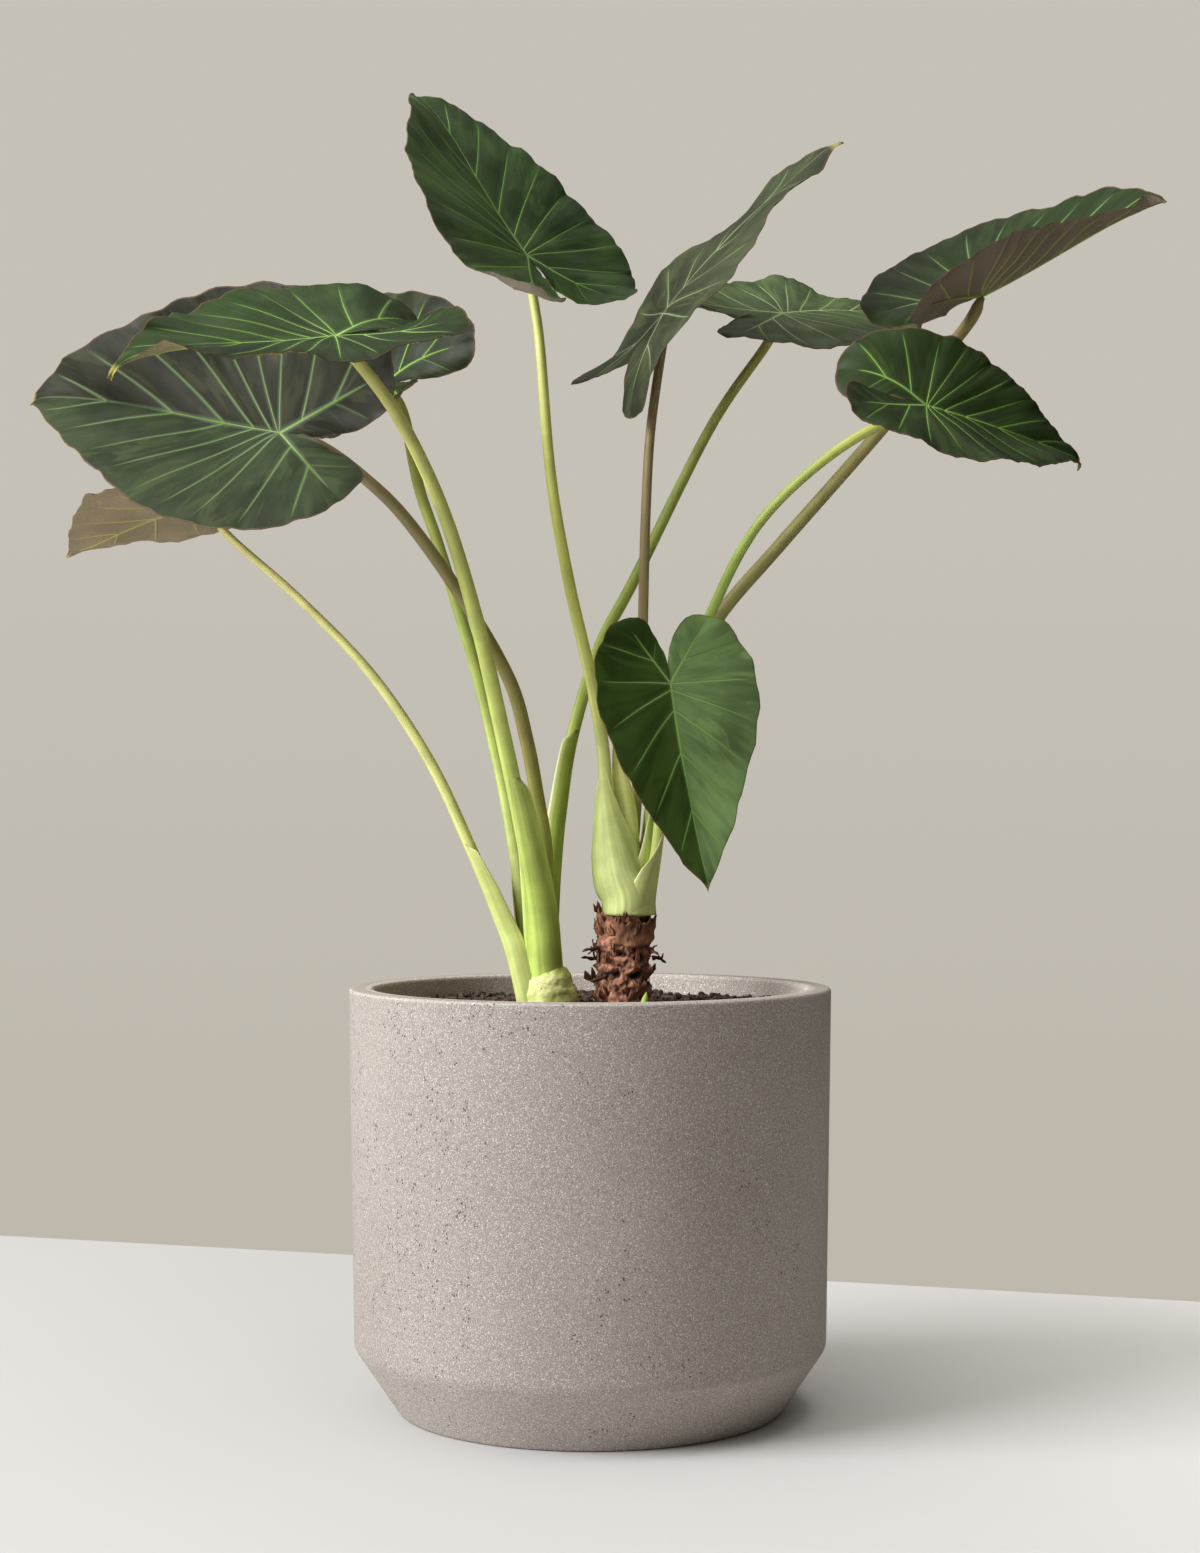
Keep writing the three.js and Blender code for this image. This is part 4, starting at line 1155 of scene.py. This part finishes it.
def make_shoot():
    """A small green shoot with one pointed fold, beside the rhizome."""
    low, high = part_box("side_shoot")
    x, y = (low.x + high.x) / 2 / MM, (low.y + high.y) / 2 / MM
    line = smooth_line([(x, y, -9), (x, y, 0), (x + 0.6, y - 0.4, 5), (x + 1.6, y - 0.9, 11)], 12)

    def radius_at(share, angles):
        girth = table_value([(0, 2.6), (0.5, 3.1), (0.8, 1.9), (1, 0.25)], share)
        return girth * (1 + 0.16 * ((angles / (2 * math.pi) + 0.3) % 1))

    points, faces, values = round_part(line, radius_at, sides=20, spread=0.8)
    tones = [(150, 170, 70), (150, 180, 70), (170, 190, 90)]
    make_piece("green_shoot", placed(points), faces, [petiole_finish("shoot", tones)],
               node="side_shoot", values=values)


# ---------------------------------------------------------------- pot and soil
POT_SIDES = 256
POT_WALL = 18 * MM
FOOT_HEIGHT = 47 * MM
FOOT_RADIUS = 139 * MM
WALL_FOOT_RADIUS = 171 * MM
POT_FLOOR = 22 * MM
DRAINS, DRAIN_RADIUS, DRAIN_RING = 3, 9 * MM, 70 * MM


def rounded(corners, radii, steps=5):
    """A profile whose corners are rounded, each by its own radius."""
    corners = [np.array(corner, float) for corner in corners]
    line = [corners[0]]
    for before, corner, after, radius in zip(corners, corners[1:], corners[2:], radii):
        back = (before - corner) / np.linalg.norm(before - corner)
        on = (after - corner) / np.linalg.norm(after - corner)
        for step in range(steps + 1):
            share = step / steps
            line.append(corner + back * radius * (1 - share) ** 2 + on * radius * share**2)
    return line + [corners[-1]]


def turned_object(name, profile, sides):
    """A closed turned mesh from a profile that starts and ends on the axis."""
    mesh = bpy.data.meshes.new(name)
    build = bmesh.new()
    rings = []
    for radius, height in profile:
        if radius < 1e-6:
            rings.append([build.verts.new((0, 0, height))])
            continue
        rings.append([build.verts.new(polar(radius, angle, height))
                      for angle in np.arange(sides) * 2 * math.pi / sides])
    for low, high in zip(rings, rings[1:]):
        for side in range(sides):
            after = (side + 1) % sides
            corners = [low[side % len(low)], low[after % len(low)], high[after % len(high)],
                       high[side % len(high)]]
            build.faces.new(list(dict.fromkeys(corners)))
    bmesh.ops.recalc_face_normals(build, faces=build.faces)
    build.to_mesh(mesh)
    build.free()
    piece = bpy.data.objects.new(name, mesh)
    bpy.context.scene.collection.objects.link(piece)
    return piece


def make_pot():
    rim, height = POT_HIGH.x, POT_HIGH.z
    inner = rim - POT_WALL
    corners = [(0, 0), (FOOT_RADIUS, 0), (WALL_FOOT_RADIUS, FOOT_HEIGHT), (rim, height),
               (inner, height), (WALL_FOOT_RADIUS - POT_WALL, FOOT_HEIGHT + POT_WALL / 2),
               (FOOT_RADIUS - POT_WALL / 2, POT_FLOOR), (0, POT_FLOOR)]
    radii = [radius * MM for radius in (3, 4, 2.6, 3.4, 8, 8)]
    pot = turned_object("stone_pot", rounded(corners, radii), POT_SIDES)
    cutters = []
    for i in range(DRAINS):
        bpy.ops.mesh.primitive_cylinder_add(
            vertices=48, radius=DRAIN_RADIUS, depth=4 * POT_FLOOR,
            location=polar(DRAIN_RING, 2 * math.pi * i / DRAINS))
        cutter = bpy.context.object
        cut = pot.modifiers.new("drain", "BOOLEAN")
        cut.object, cut.operation, cut.solver = cutter, "DIFFERENCE", "EXACT"
        cutters.append(cutter)
    evaluated = pot.evaluated_get(bpy.context.evaluated_depsgraph_get())
    pot.data = bpy.data.meshes.new_from_object(evaluated)
    pot.modifiers.clear()
    for cutter in cutters:
        bpy.data.objects.remove(cutter)
    pot.data.shade_smooth()
    pot.data.set_sharp_from_angle(angle=math.radians(40))
    pot.data.materials.clear()
    pot.data.materials.append(pot_finish())
    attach(pot, "root")
    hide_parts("pot")


def soil_height(x, y):
    """Height of the soil's surface above its mean level, in millimetres."""
    return 2.2 * relief_at((x, y, 0), 0.035, 3) + 1.5 * relief_at((x, y, 0), 0.16, 4) - 1.0


def make_soil():
    """A crumbly surface that reaches the wall, with loose crumbs on it."""
    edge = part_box("potting_soil")[1].x / MM
    rows, sides, crumbs = 64, 240, 1500
    points = []
    for row in range(1, rows + 1):
        radius = edge * row / rows
        for side in range(sides):
            x, y, _ = polar(radius, 2 * math.pi * side / sides)
            points.append((x, y, soil_height(x, y)))
    depth = (POT_FLOOR - SOIL) / MM + 1
    floor_ring = [polar(0.86 * edge, angle, depth)
                  for angle in 2 * math.pi * np.arange(sides) / sides]
    rings = np.array(floor_ring + points[::-1]).reshape(rows + 1, sides, 3)
    rings[0] = rings[0][::-1]
    points, faces, _ = joined([(*capped_tube(list(rings)), {}), *soil_crumbs(edge, crumbs)])
    make_piece("soil_fill", placed(points), faces, [soil_finish()], node="potting_soil")


def soil_crumbs(edge, count):
    """Small uneven lumps scattered over the soil, as closed meshes."""
    ball = bmesh.new()
    bmesh.ops.create_icosphere(ball, subdivisions=2, radius=1)
    shape = np.array([vertex.co[:] for vertex in ball.verts])
    faces = [tuple(vertex.index for vertex in face.verts) for face in ball.faces]
    ball.free()
    crumbs = []
    for _ in range(count):
        radius = (edge - 3) * math.sqrt(rng.random())
        angle = rng.uniform(0, 2 * math.pi)
        size = rng.uniform(0.8, 2.6) * rng.uniform(0.6, 1.3, 3)
        lumps = 1 + 0.22 * np.sin(shape @ rng.normal(0, 3, 3) + rng.uniform(0, 6))
        spin = rng.uniform(0, 2 * math.pi)
        turn = np.array([[math.cos(spin), -math.sin(spin), 0], [math.sin(spin), math.cos(spin), 0],
                         [0, 0, 1]])
        x, y, _ = polar(radius, angle)
        lump = (shape * lumps[:, None] * size) @ turn.T
        crumbs.append((lump + np.array([x, y, soil_height(x, y) + 0.3 * size[2]]), faces, {}))
    return crumbs


# ---------------------------------------------------------------- stage, light and camera
EYE = Vector((0.0071, -1.867, 0.4266))
EYE_PITCH = 0.94
FOCAL_SHARE = 1.6463              # focal length as a share of the sensor's long side
SENSOR = 36.0
TABLE_TURN = -17.4                # the table's back edge, turned about the origin
TABLE_BACK, TABLE_FRONT, TABLE_HALF, TABLE_THICK = 0.540, -2.6, 2.2, 0.03


def make_camera():
    data = bpy.data.cameras.new("view")
    data.sensor_width = SENSOR
    data.lens = FOCAL_SHARE * SENSOR
    data.clip_end = 50
    camera = bpy.data.objects.new("view", data)
    camera.location = EYE
    camera.rotation_euler = (math.radians(90 + EYE_PITCH), 0, 0)
    bpy.context.scene.collection.objects.link(camera)
    bpy.context.scene.camera = camera


def make_floor():
    corners = [direction(TABLE_TURN) * x + direction(TABLE_TURN + 90) * y for x, y in (
        (-TABLE_HALF, TABLE_FRONT), (TABLE_HALF, TABLE_FRONT),
        (TABLE_HALF, TABLE_BACK), (-TABLE_HALF, TABLE_BACK))]
    low = [corner - np.array([0, 0, TABLE_THICK]) for corner in corners]
    mesh = bpy.data.meshes.new("table_top")
    faces = [(0, 1, 2, 3), (7, 6, 5, 4)] + [(i, i + 4, (i + 1) % 4 + 4, (i + 1) % 4)
                                            for i in range(4)]
    mesh.from_pydata([tuple(corner) for corner in corners + low], [], faces)
    finish = Finish("table_paper", Roughness=0.8)
    grain = finish.noise(finish.place(), 3, 2)
    base = finish.mix(grain, colour((190, 189, 187)), colour((193, 192, 190)))
    mesh.materials.append(finish.done(base))
    table = bpy.data.objects.new("table_top", mesh)
    bpy.context.scene.collection.objects.link(table)


def make_world():
    """A beige backdrop to the eye; other rays see a glow that is stronger to the left and
    from above."""
    world = bpy.data.worlds.new("studio")
    world.use_nodes = True
    world.node_tree.nodes.clear()
    sky = Nodes(world.node_tree)
    seen = sky.node("ShaderNodeTexCoord", {}, "Generated")
    across = sky.node("ShaderNodeSeparateXYZ", {0: seen}, "X")
    height = sky.node("ShaderNodeSeparateXYZ", {0: seen}, "Z")
    fade = sky.ramp(height, -0.12, 0.12, way="LINEAR")
    tint = sky.mix(fade, colour((190, 184, 173)), colour((198, 193, 183)))
    shown = sky.node("ShaderNodeBackground", {"Color": tint})
    strength = sky.math("ADD", sky.ramp(across, -0.9, 0.9, 0.4, 0.0, way="LINEAR"),
                        sky.ramp(height, 0.55, 1.0, 0.0, 2.3, way="LINEAR"))
    glow = sky.node("ShaderNodeBackground", {
        "Color": colour((198, 193, 186)), "Strength": strength})
    to_eye = sky.node("ShaderNodeLightPath", {}, "Is Camera Ray")
    both = sky.node("ShaderNodeMixShader", {0: to_eye, 1: glow, 2: shown})
    end = sky.tree.nodes.new("ShaderNodeOutputWorld")
    sky.feed(end.inputs["Surface"], both)
    bpy.context.scene.world = world


def add_light(name, at, target, size, power, tint=(1, 1, 1), spread=180):
    data = bpy.data.lights.new(name, "AREA")
    data.shape = "RECTANGLE"
    data.size, data.size_y = size
    data.energy = power
    data.color = tint
    data.spread = math.radians(spread)
    lamp = bpy.data.objects.new(name, data)
    lamp.location = at
    aim = Vector(target) - Vector(at)
    lamp.rotation_euler = aim.to_track_quat("-Z", "Y").to_euler()
    bpy.context.scene.collection.objects.link(lamp)


def make_lights():
    add_light("key", (-4.0, -1.8, 2.5), (0, 0, 0.35), (3.0, 3.0), 430, (0.96, 0.985, 1.0))
    add_light("overhead", (-0.4, -0.3, 2.4), (0, 0, 0.6), (1.8, 1.8), 6)
    add_light("table_wash", (1.3, 0.25, 2.2), (1.3, 0.25, 0), (1.6, 1.6), 8, spread=45)


# ---------------------------------------------------------------- build
make_camera()
make_world()
make_lights()
make_floor()
make_pot()
make_soil()
make_corm()
make_rhizome()
make_collar()
for root_number, root in enumerate(ROOTS, 1):
    make_root(root_number, *root)
make_shoot()
make_young_leaf()
for leaf_number, leaf in enumerate(BLADES):
    make_petiole(leaf)
    make_blade(leaf, 1.7 * leaf_number)

bpy.context.scene.view_settings.view_transform = "Standard"
